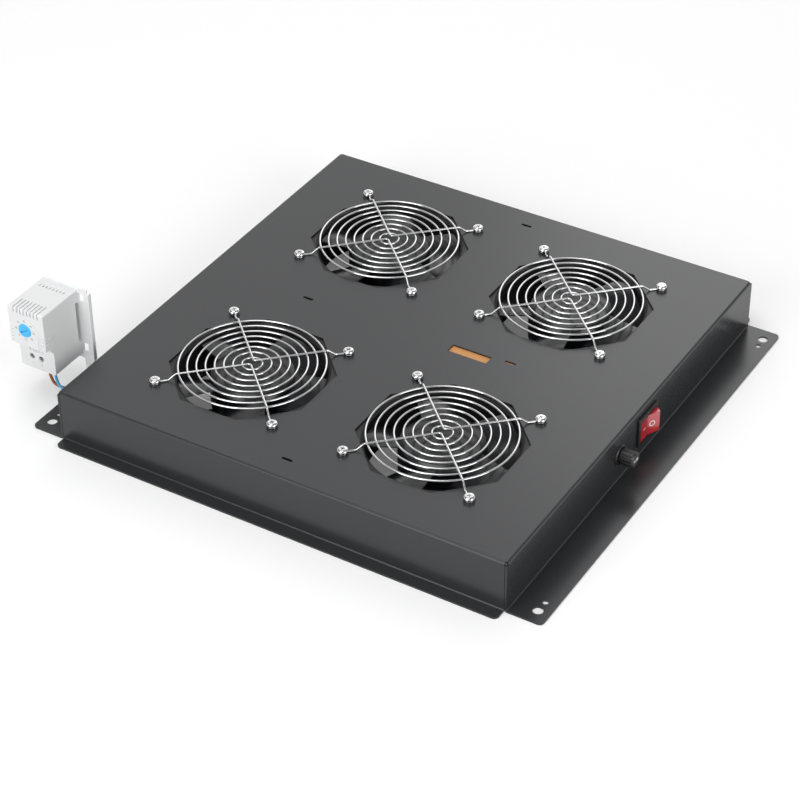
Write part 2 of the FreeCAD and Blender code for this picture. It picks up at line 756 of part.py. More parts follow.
def switch_rocker():
    """Two-facet rocker with trunnions, pressed in at its left end."""
    radius = SWITCH_BODY_LONG / 2 - SWITCH_WALL - ROCKER_GAP

    def rim(degrees, side=1):
        turn = math.radians(degrees)
        return Vector(side * radius * math.cos(turn), 0, radius * math.sin(turn))

    middle = (ROCKER_END + ROCKER_TAIL_DEG) / 2
    valley = Vector(0, 0, ROCKER_VALLEY + ROCKER_PIVOT)
    feet = [Vector(side * ROCKER_FOOT_HALF, 0, -ROCKER_FOOT) for side in (1, -1)]
    edges = [
        Part.LineSegment(valley, rim(ROCKER_END)).toShape(),
        Part.Arc(rim(ROCKER_END), rim(middle), rim(ROCKER_TAIL_DEG)).toShape(),
        Part.LineSegment(rim(ROCKER_TAIL_DEG), feet[0]).toShape(),
        Part.LineSegment(feet[0], feet[1]).toShape(),
        Part.LineSegment(feet[1], rim(ROCKER_TAIL_DEG, -1)).toShape(),
        Part.Arc(rim(ROCKER_TAIL_DEG, -1), rim(middle, -1), rim(ROCKER_END, -1)).toShape(),
        Part.LineSegment(rim(ROCKER_END, -1), valley).toShape(),
    ]
    body = Part.Face(Part.Wire(edges)).extrude(Vector(0, ROCKER_TALL, 0))
    body.translate(Vector(0, -ROCKER_TALL / 2, 0))
    reach = ROCKER_TALL / 2 + TRUNNION_LONG
    pins = Part.makeCylinder(TRUNNION_R, 2 * reach, Vector(0, -reach, 0), Vector(0, 1, 0))
    rocker = fused([body, pins])
    rocker.rotate(Vector(0, 0, 0), Vector(0, 1, 0), -ROCKER_THROW)
    return moved(rocker, z=-ROCKER_PIVOT)


def tab(x, y, top):
    """Push-on tab hanging back from a device body, with its locking hole."""
    wide, thick, low = TAB_WIDE / 2, TAB_THICK / 2, top - TAB_LONG
    blade = block((x - wide, x + wide), (y - thick, y + thick), (low, top))
    hole = Part.makeCylinder(TAB_HOLE_R, TAB_THICK, Vector(x, y - thick, low + TAB_HOLE_UP), Vector(0, 1, 0))
    return blade.cut(hole)


def switch_terminals():
    spots = four(SWITCH_BODY_LONG / 4, SWITCH_BODY_TALL / 4)
    return [tab(x, y, -SWITCH_DEPTH) for x, y in spots]


# ---------------------------------------------------------------- fuse holder
def fuse_body():
    """Flanged barrel with a closed inner end and a solder tab."""
    edge, floor = FUSE_FLANGE / 2, FUSE_FLOOR - FUSE_DEPTH
    body = turned([
        (0, -FUSE_DEPTH), (FUSE_BARREL_R, -FUSE_DEPTH), (FUSE_BARREL_R, 0), (FUSE_FLANGE_R, 0),
        (FUSE_FLANGE_R, edge), (FUSE_FLANGE_R - edge, FUSE_FLANGE), (FUSE_BORE_R, FUSE_FLANGE),
        (FUSE_BORE_R, floor), (0, floor),
    ])
    wide, thick = FUSE_TAB_WIDE / 2, TAB_THICK / 2
    return fused([body, block((-wide, wide), (-thick, thick), (-FUSE_DEPTH - FUSE_TAB_LONG, floor))])


def fuse_nut():
    nut = regular(6, FUSE_NUT_AF, -SHEET - FUSE_NUT, -SHEET)
    return nut.cut(disc(FUSE_BARREL_R + THREAD_GAP, -SHEET - FUSE_NUT, -SHEET))


def fuse_cap():
    """Fluted knob with the stem that turns in the carrier."""
    low = FUSE_FLANGE + FUSE_CAP_GAP
    high = low + FUSE_CAP_LONG
    knob = turned([
        (0, low), (FUSE_CAP_R - FUSE_CAP_EDGE, low), (FUSE_CAP_R, low + FUSE_CAP_EDGE),
        (FUSE_CAP_R, high - FUSE_CAP_ROUND), (FUSE_CAP_R - FUSE_CAP_ROUND, high), (0, high),
    ])
    flute = disc(FUSE_FLUTE_R, low + FUSE_CAP_SKIRT, high, FUSE_CAP_R + FUSE_FLUTE_R / 3)
    flutes = [spun(flute, i * 360 / FUSE_FLUTES) for i in range(FUSE_FLUTES)]
    stem = disc(FUSE_STEM_R, FUSE_FLANGE - CARRIER_TOP, low)
    return fused([knob.cut(flutes), stem])


def fuse_carrier():
    """Sleeve that holds the fuse and slides in the barrel."""
    top = FUSE_FLANGE - RUNNING_GAP
    sleeve = disc(FUSE_BORE_R - RUNNING_GAP, top - CARRIER_LONG, top)
    well = disc(FUSE_R + RUNNING_GAP, top - CARRIER_LONG, top - CARRIER_TOP)
    return sleeve.cut(well).cut(disc(FUSE_STEM_R + RUNNING_GAP, top - CARRIER_TOP, top))


def glass_fuse():
    top = FUSE_FLANGE - RUNNING_GAP - CARRIER_TOP - FUSE_CAP_GAP
    low = top - FUSE_LONG
    caps = [disc(FUSE_R, top - FUSE_END_CAP, top), disc(FUSE_R, low, low + FUSE_END_CAP)]
    return fused(caps + [disc(FUSE_GLASS_R, low, top)])


# ---------------------------------------------------------------- appliance inlet
def inlet_outline(long, tall, low, high, chamfer):
    """Inlet form: a rectangle with its two upper corners cut off."""
    x, y = long / 2, tall / 2
    corners = [(-x, -y), (x, -y), (x, y - chamfer), (x - chamfer, y), (chamfer - x, y), (-x, y - chamfer)]
    return prism(corners, low, high)


def inlet_housing():
    plate = rounded(INLET_PLATE_LONG, INLET_PLATE_TALL, 0, INLET_PLATE, INLET_CHAMFER / 2)
    half_long, half_tall = INLET_BODY_LONG / 2, INLET_BODY_TALL / 2
    body = block((-half_long, half_long), (-half_tall, half_tall), (-INLET_DEPTH, 0))
    floor = INLET_PLATE - INLET_SOCKET_DEEP
    socket = inlet_outline(INLET_SOCKET_LONG, INLET_SOCKET_TALL, floor, INLET_PLATE, INLET_CHAMFER)
    holes = [disc(M3_CLEAR_R, 0, INLET_PLATE, side * INLET_SCREWS / 2) for side in (1, -1)]
    return fused([plate, body]).cut([socket] + holes + inlet_pins())


def inlet_pins():
    """Line, neutral and earth pins with their tabs behind the body."""
    thick, long = PIN_THICK / 2, PIN_LONG / 2
    pin = block((-thick, thick), (-long, long), (-INLET_DEPTH - TAB_LONG, INLET_PLATE - PIN_SHY))
    spots = ((-PIN_PITCH / 2, 0), (PIN_PITCH / 2, 0), (0, PIN_EARTH_UP))
    return [moved(pin, x, y) for x, y in spots]


def inlet_screws():
    screws = []
    for side in (1, -1):
        x = side * INLET_SCREWS / 2
        screw = pan_screw(M3_R, M3_HEAD_R, M3_HEAD_RISE, INLET_PLATE + SHEET + M3_NUT_RISE + M3_TAIL)
        screws.append(moved(screw, x=x, z=INLET_PLATE))
        screws.append(moved(hex_nut(M3_NUT_AF, M3_NUT_RISE, M3_R), x=x, z=-SHEET - M3_NUT_RISE))
    return screws


# ---------------------------------------------------------------- under the plate
def pole_places(poles):
    """X of each pole of a terminal strip."""
    return [(i - (poles - 1) / 2) * BLOCK_PITCH for i in range(poles)]


def terminal_block(poles):
    """Moulded screw terminal strip, long along X, hanging from z 0, with ports on both long sides."""
    half_long, half_deep = poles * BLOCK_PITCH / 2 + BLOCK_END, BLOCK_DEEP / 2
    body = block((-half_long, half_long), (-half_deep, half_deep), (-BLOCK_TALL, 0))
    start = Vector(0, -half_deep, -BLOCK_PORT_DOWN)
    port = Part.makeCylinder(BLOCK_PORT_R, BLOCK_DEEP, start, Vector(0, 1, 0))
    well = disc(BLOCK_SCREW_R, -BLOCK_TALL, -BLOCK_TALL / 2)
    tools = []
    for x in pole_places(poles):
        tools += [moved(port, x), moved(well, x, BLOCK_SCREW_IN), moved(well, x, -BLOCK_SCREW_IN)]
    groove = block((-BLOCK_GROOVE / 2, BLOCK_GROOVE / 2), (-half_deep, half_deep),
                   (-BLOCK_TALL, BLOCK_GROOVE_DEEP - BLOCK_TALL))
    tools += [moved(groove, x) for x in pole_places(poles - 1)]
    return body.cut(tools)


def terminal_screws(poles):
    """Slotted clamping screws of a terminal strip, one each side of every pole."""
    low = BLOCK_SCREW_SINK - BLOCK_TALL
    radius, half = BLOCK_SCREW_R - RUNNING_GAP, SLOT_WIDE / 2
    groove = block((-radius, radius), (-half, half), (low, low + SLOT_DEEP))
    screw = disc(radius, low, -BLOCK_TALL / 2).cut(groove)
    return [moved(screw, x, side * BLOCK_SCREW_IN) for x in pole_places(poles) for side in (1, -1)]


def board_place(shape):
    """Put a part drawn below z 0 under the insulating board."""
    return moved(shape, 0, WINDOW_Y, PLATE_Z - BOARD)


def terminal_board():
    """Insulating board held flat under the plate, showing through the window."""
    board = block((-BOARD_X / 2, BOARD_X / 2), (-BOARD_Y / 2, BOARD_Y / 2), (0, BOARD))
    holes = [disc(M3_CLEAR_R, 0, BOARD, 0, side * BOARD_STUD_Y) for side in (1, -1)]
    return board_place(board.cut(holes))


def board_studs():
    """Weld studs under the plate with the nuts that clamp the board."""
    parts = []
    for side in (1, -1):
        stud = disc(M3_R, BOARD - BOARD_STUD_LONG, BOARD)
        nut = moved(hex_nut(M3_NUT_AF, M3_NUT_RISE, M3_R), z=-M3_NUT_RISE)
        parts += [moved(stud, y=side * BOARD_STUD_Y), moved(nut, y=side * BOARD_STUD_Y)]
    return [board_place(p) for p in parts]


def earth_stud():
    """Protective-earth weld stud with two nuts."""
    stud = disc(M4_R, -EARTH_LONG, 0)
    nut = hex_nut(M4_NUT_AF, M4_NUT_RISE, M4_R)
    nuts = [moved(nut, z=-M4_NUT_RISE - step) for step in (0, EARTH_NUT_STEP)]
    return [moved(s, EARTH_X, EARTH_Y, PLATE_Z) for s in [stud] + nuts]


def grommet():
    """Rubber grommet with a groove for the wall and a hole for each wire."""
    low, high = -SHEET - GROMMET_RIM, GROMMET_RIM
    lip = GROMMET_HOLE_R - GROMMET_GROOVE_GAP
    soft = GROMMET_ROUND
    body = turned([
        (0, low), (GROMMET_RIM_R - soft, low), (GROMMET_RIM_R, low + soft), (GROMMET_RIM_R, -SHEET),
        (lip, -SHEET), (lip, 0),
        (GROMMET_RIM_R, 0), (GROMMET_RIM_R, high - soft), (GROMMET_RIM_R - soft, high), (0, high),
    ])
    holes = [disc(WIRE_D / 2 + RUNNING_GAP, low, high, side * WIRE_SPREAD / 2) for side in (1, -1)]
    return body.cut(holes)


# ---------------------------------------------------------------- thermostat
def thermo_solid(inset):
    """The cover's body, extruded from its side outline and set in by a wall all round."""
    front, low_front = THERMO_D - inset, THERMO_D - THERMO_SETBACK - inset
    step = THERMO_STEP_Y + inset
    knee = step - THERMO_SHOULDER
    side = THERMO_W / 2 - inset
    tall = THERMO_H - inset
    round_top = Vector(-side, step, low_front + THERMO_SHOULDER / 2)
    round_end = Vector(-side, knee, low_front)
    round_mid = Vector(-side, (step + knee) / 2, low_front + THERMO_SHOULDER_LIFT)
    corners = [
        round_end, Vector(-side, inset, low_front), Vector(-side, inset, THERMO_BASE),
        Vector(-side, tall, THERMO_BASE), Vector(-side, tall, front), Vector(-side, step, front), round_top,
    ]
    edges = [Part.LineSegment(first, last).toShape() for first, last in zip(corners, corners[1:])]
    edges.append(Part.Arc(round_top, round_mid, round_end).toShape())
    return Part.Face(Part.Wire(edges)).extrude(Vector(2 * side, 0, 0))


def vent_cutters():
    """Grooves over the front top edge, short ones at its rear, and ribs that wrap onto the right side."""
    top, front, side = THERMO_H, THERMO_D, THERMO_W / 2
    tools = []
    for i in range(VENT_COUNT):
        x = (i - (VENT_COUNT - 1) / 2) * VENT_PITCH
        wide = (x - VENT_WIDE / 2, x + VENT_WIDE / 2)
        tools.append(block(wide, (top - VENT_DEEP, top), (front - VENT_TOP_LONG, front)))
        tools.append(block(wide, (top - VENT_FRONT_LONG, top), (front - VENT_DEEP, front)))
        tools.append(block(wide, (top - VENT_DEEP, top), (THERMO_BASE, THERMO_BASE + VENT_REAR_LONG)))
    for i in range(RIB_COUNT):
        y = THERMO_STEP_Y + RIB_START + i * RIB_PITCH
        tall = (y, y + VENT_WIDE)
        tools.append(block((side - VENT_DEEP / 2, side), tall, (front - RIB_LONG, front)))
        tools.append(block((DIAL_X + ARCH_HALF + RIB_GAP, side), tall, (front - VENT_DEEP / 2, front)))
    return tools


def louvre_cutters():
    """Slanted grooves in the nose, above the terminal wells."""
    front = THERMO_D - THERMO_SETBACK
    long, wide = LOUVRE_LONG / 2, LOUVRE_WIDE / 2
    groove = spun(block((-long, long), (-wide, wide), (front - VENT_DEEP, front)), LOUVRE_LEAN_DEG)
    middle = (LOUVRE_COUNT - 1) / 2
    return [moved(groove, TERMINAL_X + (i - middle) * LOUVRE_PITCH, LOUVRE_UP) for i in range(LOUVRE_COUNT)]


def terminal_spots():
    """X of the two clamping screws."""
    return [TERMINAL_X + side * TERMINAL_PITCH / 2 for side in (-1, 1)]


def wire_ports():
    """Holes in the cover's foot where the two leads enter."""
    ports = []
    for route in (BROWN_ROUTE, BLUE_ROUTE):
        x, y, _ = route[0]
        start = Vector(THERMO_Y - y, 0, BRACKET_X - x)
        ports.append(Part.makeCylinder(WIRE_D / 2 + RUNNING_GAP, THERMO_WALL, start, Vector(0, 1, 0)))
    return ports


def thermostat_cover():
    """Moulded cover with set-back terminal nose, vents, dial arch and screw wells."""
    outside = thermo_solid(0)
    uprights = [e for e in outside.Edges if is_along(e, "z") and e.BoundBox.ZLength > THERMO_SETBACK]
    front_edges = [e for e in outside.Edges
                   if e.BoundBox.ZMin > THERMO_D - NEAR and e.BoundBox.YMin > THERMO_STEP_Y + NEAR]
    outside = outside.makeFillet(THERMO_ROUND, uprights + front_edges)
    behind, proud = THERMO_D - VENT_DEEP, THERMO_D + ARCH_RISE
    arch = disc(ARCH_HALF, behind, proud, DIAL_X, DIAL_UP)
    apron = block((DIAL_X - ARCH_HALF, DIAL_X + ARCH_HALF), (THERMO_STEP_Y, DIAL_UP), (behind, proud))
    shell = outside.cut(vent_cutters() + louvre_cutters()).fuse([arch, apron]).removeSplitter()
    dial = disc(DIAL_R + RUNNING_GAP, DIAL_LOW, proud, DIAL_X, DIAL_UP)
    low_front = THERMO_D - THERMO_SETBACK
    well = disc(TERMINAL_HOLE_R, low_front - THERMO_WALL, low_front)
    wells = [moved(well, x, TERMINAL_UP) for x in terminal_spots()]
    return shell.cut([thermo_solid(THERMO_WALL), dial] + wells + wire_ports())


def thermostat_base():
    """Base with the rail recess in its back and the terminal tower standing inside the cover."""
    side, middle = THERMO_W / 2, THERMO_H / 2
    slab = block((-side, side), (0, THERMO_H), (0, THERMO_BASE))
    slab = slab.makeFillet(THERMO_ROUND, [e for e in slab.Edges if is_along(e, "z")])
    mouth = RAIL_HALF + RAIL_GAP
    deep = RAIL_OFFSET + 2 * RAIL_LIP
    recess = block((-side, side), (middle - mouth, middle + mouth), (0, deep))
    hook = block((-side, side), (middle, middle + mouth + RAIL_HOOK), (RAIL_OFFSET - RAIL_GAP, deep))
    groove_half = CLIP_WIDE / 2 + RAIL_GAP
    groove = block((-groove_half, groove_half), (0, middle - mouth), (0, CLIP_THICK + RAIL_GAP))
    inset = THERMO_WALL + RAIL_GAP
    tower_x, tower_y = side - inset, (inset + WIRE_D, THERMO_STEP_Y - THERMO_SHOULDER)
    tower = block((-tower_x, tower_x), tower_y, (THERMO_BASE, TERMINAL_TOP))
    low = TERMINAL_TOP - TERMINAL_SCREW_LONG
    holes = [disc(TERMINAL_SCREW_R, low, TERMINAL_TOP, x, TERMINAL_UP) for x in terminal_spots()]
    high = THERMO_D / 2
    socket = disc(DIAL_STEM_R + DIAL_SOCKET_WALL, THERMO_BASE, high, DIAL_X, DIAL_UP)
    bore = disc(DIAL_STEM_R + RUNNING_GAP, THERMO_BASE, high, DIAL_X, DIAL_UP)
    return fused([slab.cut([recess, hook, groove]), tower, socket]).cut(holes + [bore])


def thermostat_dial():
    """Setting dial with a screwdriver slot, on its stem."""
    high = THERMO_D + ARCH_RISE + DIAL_PROUD
    edge = DIAL_R - DIAL_EDGE
    knob = turned([(0, DIAL_LOW), (DIAL_R, DIAL_LOW), (DIAL_R, high - DIAL_EDGE), (edge, high), (0, high)])
    long, wide = DIAL_SLOT_LONG / 2, DIAL_SLOT_WIDE / 2
    groove = spun(block((-long, long), (-wide, wide), (high - DIAL_SLOT_DEEP, high)), DIAL_SETTING_DEG)
    stem = disc(DIAL_STEM_R, THERMO_BASE + STATOR_GAP, DIAL_LOW)
    return moved(fused([knob.cut(groove), stem]), DIAL_X, DIAL_UP)


def thermostat_screws():
    """Slotted clamping screws in the two terminal wells."""
    low, high = TERMINAL_TOP - TERMINAL_SCREW_LONG, TERMINAL_TOP
    radius, half = TERMINAL_SCREW_R - RUNNING_GAP, SLOT_WIDE / 2
    groove = block((-radius, radius), (-half, half), (high - SLOT_DEEP, high))
    screw = disc(radius, low, high).cut(groove)
    return [moved(screw, x, TERMINAL_UP) for x in terminal_spots()]


def rail_clip():
    """Sprung slider in the base that holds the lower rail lip."""
    lip_edge = THERMO_H / 2 - RAIL_HALF
    half = CLIP_WIDE / 2
    slider = block((-half, half), (-CLIP_TAIL, lip_edge + RAIL_HOOK), (0, RAIL_OFFSET - RAIL_GAP))
    tail = block((-half, half), (-CLIP_TAIL, -RAIL_GAP), (0, THERMO_BASE / 2))
    hole_half = CLIP_HOLE_WIDE / 2
    hole = block((-hole_half, hole_half), (CLIP_RIM - CLIP_TAIL, -CLIP_RIM), (0, THERMO_BASE / 2))
    return fused([slider, tail]).cut(hole)


# ---------------------------------------------------------------- bracket
def bracket_span():
    """(low, high) Y and Z of the bracket's upright plate."""
    span_y = (THERMO_Y - THERMO_W / 2 - BRACKET_EDGE, THERMO_Y + THERMO_W / 2)
    span_z = (THERMO_Z - BRACKET_UNDER, THERMO_Z + THERMO_H + BRACKET_OVER)
    return span_y, span_z


def bracket_screw_place():
    """(x, y) of the screw through the bracket's foot."""
    (edge, _), _ = bracket_span()
    return BRACKET_X + BRACKET_SHEET + BRACKET_FOOT / 2, (edge + HALF_Y + WIDE_FLANGE) / 2


def rail_lips(middle):
    """Two lips folded out of the plate, their free edges pointing away from each other."""
    out = BRACKET_X - RAIL_OFFSET
    span = (THERMO_Y - RAIL_LIP_LONG / 2, THERMO_Y + RAIL_LIP_LONG / 2)
    root = RAIL_HALF - RAIL_HOOK - RAIL_LIP
    lips = []
    for side in (1, -1):
        web = sorted((middle + side * (root - RAIL_LIP), middle + side * root))
        face = sorted((middle + side * (root - RAIL_LIP), middle + side * RAIL_HALF))
        lips.append(block((out - RAIL_LIP, BRACKET_X), span, web))
        lips.append(block((out - RAIL_LIP, out), span, face))
    return lips


def thermostat_bracket():
    """Folded plate: foot on the rear flange, leg, upright plate, stiffening lip and two rail lips."""
    (y0, y1), (z0, z1) = bracket_span()
    back = BRACKET_X + BRACKET_SHEET
    sheet = (BRACKET_X, back)
    leg_y = (y0, HALF_Y + WIDE_FLANGE)
    plate = block(sheet, (y0, y1), (z0, z1))
    leg = block(sheet, leg_y, (SHEET, z0))
    foot = block((BRACKET_X, back + BRACKET_FOOT), leg_y, (SHEET, SHEET + BRACKET_SHEET))
    lip = block((BRACKET_X, BRACKET_X + BRACKET_LIP), (y0, y0 + BRACKET_SHEET), (z0, z1 - BRACKET_LIP_DROP))
    middle = THERMO_Z + THERMO_H / 2
    y = y0 + BRACKET_SLOT_IN
    wide, tall = BRACKET_SLOT_WIDE / 2, BRACKET_SLOT_TALL / 2
    cutters = [block(sheet, (y0, y0 + BRACKET_SHEET), (z1 - BRACKET_LIP_DROP, z1))]
    for side in (1, -1):
        z = middle + side * BRACKET_SLOT_PITCH / 2
        cutters.append(block(sheet, (y - wide, y + wide), (z - tall, z + tall)))
    cutters.append(disc(M4_CLEAR_R, SHEET, SHEET + BRACKET_SHEET, *bracket_screw_place()))
    return fused([plate, leg, foot, lip] + rail_lips(middle)).cut(cutters)


def bracket_screw():
    """Pan-head screw through the bracket's foot, ending level with the flange's underside."""
    x, y = bracket_screw_place()
    screw = pan_screw(M4_R, M4_HEAD_R, M4_HEAD_RISE, SHEET + BRACKET_SHEET)
    return moved(screw, x, y, SHEET + BRACKET_SHEET)


# ---------------------------------------------------------------- wires
def wire_tube(route):
    """Round lead along straight runs joined by tangent arcs, as large as the runs allow."""
    points = [Vector(*p) for p in route]
    edges = []
    last = points[0]
    for before, here, after in zip(points, points[1:], points[2:]):
        run_in, run_out = here - before, after - here
        turn = run_in.getAngle(run_out)
        cut = ARC_SHARE * min(run_in.Length, run_out.Length)
        radius = cut / math.tan(turn / 2)
        first = here - run_in.normalize() * cut
        final = here + run_out.normalize() * cut
        inward = (run_out - run_in).normalize()
        middle = here + inward * (radius / math.cos(turn / 2) - radius)
        edges.append(Part.LineSegment(last, first).toShape())
        edges.append(Part.Arc(first, middle, final).toShape())
        last = final
    edges.append(Part.LineSegment(last, points[-1]).toShape())
    section = Part.Face(Part.Wire(Part.makeCircle(WIRE_D / 2, points[0], points[1] - points[0])))
    return Part.Wire(edges).makePipe(section)


# ---------------------------------------------------------------- assembly
def fan_group(make):
    """One compound of a part of every fan."""
    return [in_fan(shape, x, y) for _, x, y, _ in FAN_CENTRES for shape in make]


def corner_group(shape):
    """One fastener at every fan corner of the tray."""
    corners = four(FAN_HOLES / 2, FAN_HOLES / 2)
    return [in_fan(shape, x + dx, y + dy) for _, x, y, _ in FAN_CENTRES for dx, dy in corners]


def all_parts():
    """Every node's name and its solid or list of solids."""
    parts = {"tray_shell": tray_shell()}
    frame, core, rotor, axle, wheel = fan_frame(), stator(), rotor_cup(), shaft(), impeller()
    for name, x, y, turn in FAN_CENTRES:
        parts[f"fan_frame_{name}"] = in_fan(frame, x, y)
        parts[f"fan_stator_{name}"] = in_fan(core, x, y)
        parts[f"fan_rotor_cup_{name}"] = in_fan(rotor, x, y)
        parts[f"fan_shaft_{name}"] = in_fan(axle, x, y)
        parts[f"fan_impeller_{name}"] = in_fan(spun(wheel, turn), x, y)
    parts["fan_bearings"] = fan_group(bearings())
    parts["finger_guards"] = fan_group([finger_guard()])
    parts["guard_screws"] = corner_group(guard_screw())
    parts["guard_nuts"] = corner_group(guard_nut())

    parts["switch_housing"] = on_front(switch_housing(), SWITCH_X, PANEL_Z)
    parts["switch_rocker"] = on_front(switch_rocker(), SWITCH_X, PANEL_Z)
    parts["switch_terminals"] = [on_front(s, SWITCH_X, PANEL_Z) for s in switch_terminals()]
    parts["fuse_body"] = on_front(fuse_body(), FUSE_X, PANEL_Z)
    parts["fuse_nut"] = on_front(fuse_nut(), FUSE_X, PANEL_Z)
    parts["fuse_cap"] = on_front(fuse_cap(), FUSE_X, PANEL_Z)
    parts["fuse_carrier"] = on_front(fuse_carrier(), FUSE_X, PANEL_Z)
    parts["glass_fuse"] = on_front(glass_fuse(), FUSE_X, PANEL_Z)

    parts["inlet_housing"] = on_rear(inlet_housing(), INLET_X, INLET_Z)
    parts["inlet_pins"] = [on_rear(s, INLET_X, INLET_Z) for s in inlet_pins()]
    parts["inlet_screws"] = [on_rear(s, INLET_X, INLET_Z) for s in inlet_screws()]
    parts["wire_grommet"] = on_rear(grommet(), GROMMET_X, GROMMET_Z)

    parts["terminal_board"] = terminal_board()
    parts["board_studs"] = board_studs()
    parts["terminal_block"] = board_place(spun(terminal_block(BLOCK_POLES), 90))
    parts["block_screws"] = [board_place(spun(s, 90)) for s in terminal_screws(BLOCK_POLES)]
    parts["lead_block"] = moved(terminal_block(2), GROMMET_X, LEAD_BLOCK_Y, PLATE_Z)
    parts["lead_block_screws"] = [moved(s, GROMMET_X, LEAD_BLOCK_Y, PLATE_Z) for s in terminal_screws(2)]
    parts["earth_stud"] = earth_stud()

    parts["thermostat_cover"] = on_bracket(thermostat_cover())
    parts["thermostat_base"] = on_bracket(thermostat_base())
    parts["thermostat_dial"] = on_bracket(thermostat_dial())
    parts["thermostat_screws"] = [on_bracket(s) for s in thermostat_screws()]
    parts["rail_clip"] = on_bracket(rail_clip())
    parts["thermostat_bracket"] = thermostat_bracket()
    parts["bracket_screw"] = bracket_screw()
    parts["brown_wire"] = wire_tube(BROWN_ROUTE)
    parts["blue_wire"] = wire_tube(BLUE_ROUTE)
    return parts


def main():
    os.makedirs("parts", exist_ok=True)
    for name, shape in all_parts().items():
        solid = Part.makeCompound(shape) if isinstance(shape, list) else shape
        if not solid.isValid():
            print("not valid:", name)
        solid.exportStep(f"parts/{name}.step")


main()
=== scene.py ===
# %% [markdown]
# # A rack fan tray
# A folded steel tray that bolts over the opening in a server cabinet's roof. Four fans hang under
# its top plate, each behind a round wire guard. A lit rocker switch and a fuse holder sit in the
# front wall, and a small thermostat stands on a bracket behind the rear wall.
# The solids come ready made, so this lesson gives them their finishes, replaces the few whose real
# shape is softer than a plain solid, and lights the whole as a studio would.

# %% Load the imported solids
import json
import math

import bpy
from mathutils import Matrix, Vector


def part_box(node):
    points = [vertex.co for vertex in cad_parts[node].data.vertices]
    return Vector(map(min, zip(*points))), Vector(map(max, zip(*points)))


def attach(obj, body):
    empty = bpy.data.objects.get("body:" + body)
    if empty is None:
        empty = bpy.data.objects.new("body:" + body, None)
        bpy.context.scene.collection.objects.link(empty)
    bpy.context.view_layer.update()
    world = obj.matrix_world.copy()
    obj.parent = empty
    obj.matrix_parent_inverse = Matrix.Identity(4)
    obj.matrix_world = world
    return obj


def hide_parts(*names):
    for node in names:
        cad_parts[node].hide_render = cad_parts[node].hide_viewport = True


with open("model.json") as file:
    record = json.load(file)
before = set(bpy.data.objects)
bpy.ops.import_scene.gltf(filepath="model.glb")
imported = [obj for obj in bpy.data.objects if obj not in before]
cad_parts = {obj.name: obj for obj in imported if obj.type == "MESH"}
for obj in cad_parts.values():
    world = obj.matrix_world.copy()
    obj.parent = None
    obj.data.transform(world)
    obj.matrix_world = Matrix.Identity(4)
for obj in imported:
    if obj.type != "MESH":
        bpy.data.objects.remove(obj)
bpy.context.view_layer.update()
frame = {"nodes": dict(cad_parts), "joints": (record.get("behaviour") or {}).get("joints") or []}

NODES = frame["nodes"]
MM = 0.001

# %% [markdown]
# ## Where everything is
# The plate's top is read from the tray's own box, and the joints give the fans' axes and the pivots of
# the rocker, the fuse cap and the dial. So a new piece lands where its solid is.

# %% Places
PIVOTS = {joint["name"]: Vector(joint["pos_m"]) for joint in frame["joints"] if "pos_m" in joint}
FANS = ("rear_right", "front_right", "rear_left", "front_left")
PLATE_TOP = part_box("tray_shell")[1].z
for fan in FANS:
    print(fan, "axis at", [round(value / MM, 1) for value in PIVOTS["spin_" + fan][:2]], "mm")

# %% [markdown]
# ## The camera
# A product camera with a long lens stands well back, to the left and above, so that the tray's
# edges hardly converge. Its tilt of under a degree is kept as a roll about the line of sight.

# %% Camera
CAMERA_TARGET = Vector((-51.67, -18.02, 22.0)) * MM
CAMERA_AZIMUTH = math.radians(-58.433)
CAMERA_ELEVATION = math.radians(37.083)
CAMERA_ROLL = math.radians(-0.621)
CAMERA_DISTANCE = 1849.5 * MM
CAMERA_LENS = 110.23


def camera_matrix(target, azimuth, elevation, roll, distance):
    """World matrix of a camera that looks at target; azimuth 0 is straight from the front."""
    back = Vector((
        math.sin(azimuth) * math.cos(elevation),
        -math.cos(azimuth) * math.cos(elevation),
        math.sin(elevation),
    ))
    level = Vector((0, 0, 1)).cross(back).normalized()
    upright = back.cross(level)
    right = level * math.cos(roll) + upright * math.sin(roll)
    up = upright * math.cos(roll) - level * math.sin(roll)
    place = Matrix((right, up, back)).transposed().to_4x4()
    place.translation = target + back * distance
    return place


bpy.ops.object.select_all(action="DESELECT")
bpy.ops.object.camera_add()
camera = bpy.context.object
camera.name = "product_camera"
camera.matrix_world = camera_matrix(
    CAMERA_TARGET, CAMERA_AZIMUTH, CAMERA_ELEVATION, CAMERA_ROLL, CAMERA_DISTANCE)
camera.data.lens = CAMERA_LENS
camera.data.sensor_width = 36.0
camera.data.clip_start = 0.05
bpy.context.scene.camera = camera
print("camera at", [round(value, 3) for value in camera.location])

# %% [markdown]
# ## Two leads
# A brown and a light-blue lead leave the thermostat's foot, bend over and go through a grommet
# into the tray. Each is one limp lead, drawn as a smooth curve with a round section. The points
# are the ones that the solids follow.

# %% Lead helper
LEAD_D = 2.4 * MM
BROWN_POINTS = [
    (-158.0, 232.5, 30.5),
    (-158.0, 232.5, 19.0),
    (-156.8, 228.5, 9.6),
    (-151.8, 216.5, 7.0),
    (-148.3, 203.0, 9.0),
    (-148.3, 183.0, 9.0),
    (-147.3, 175.0, 17.0),
    (-146.2, 172.5, 29.0),
    (-145.5, 166.0, 38.17),
    (-145.5, 155.0, 38.17),
]
BLUE_POINTS = [
    (-158.0, 227.5, 30.5),
    (-158.0, 227.5, 19.5),
    (-158.6, 221.5, 9.4),
    (-155.5, 211.0, 7.6),
    (-151.7, 202.0, 9.0),
    (-151.7, 183.0, 9.0),
    (-152.4, 176.0, 17.0),
    (-153.6, 173.5, 29.0),
    (-154.5, 166.0, 38.17),
    (-154.5, 156.0, 38.17),
]


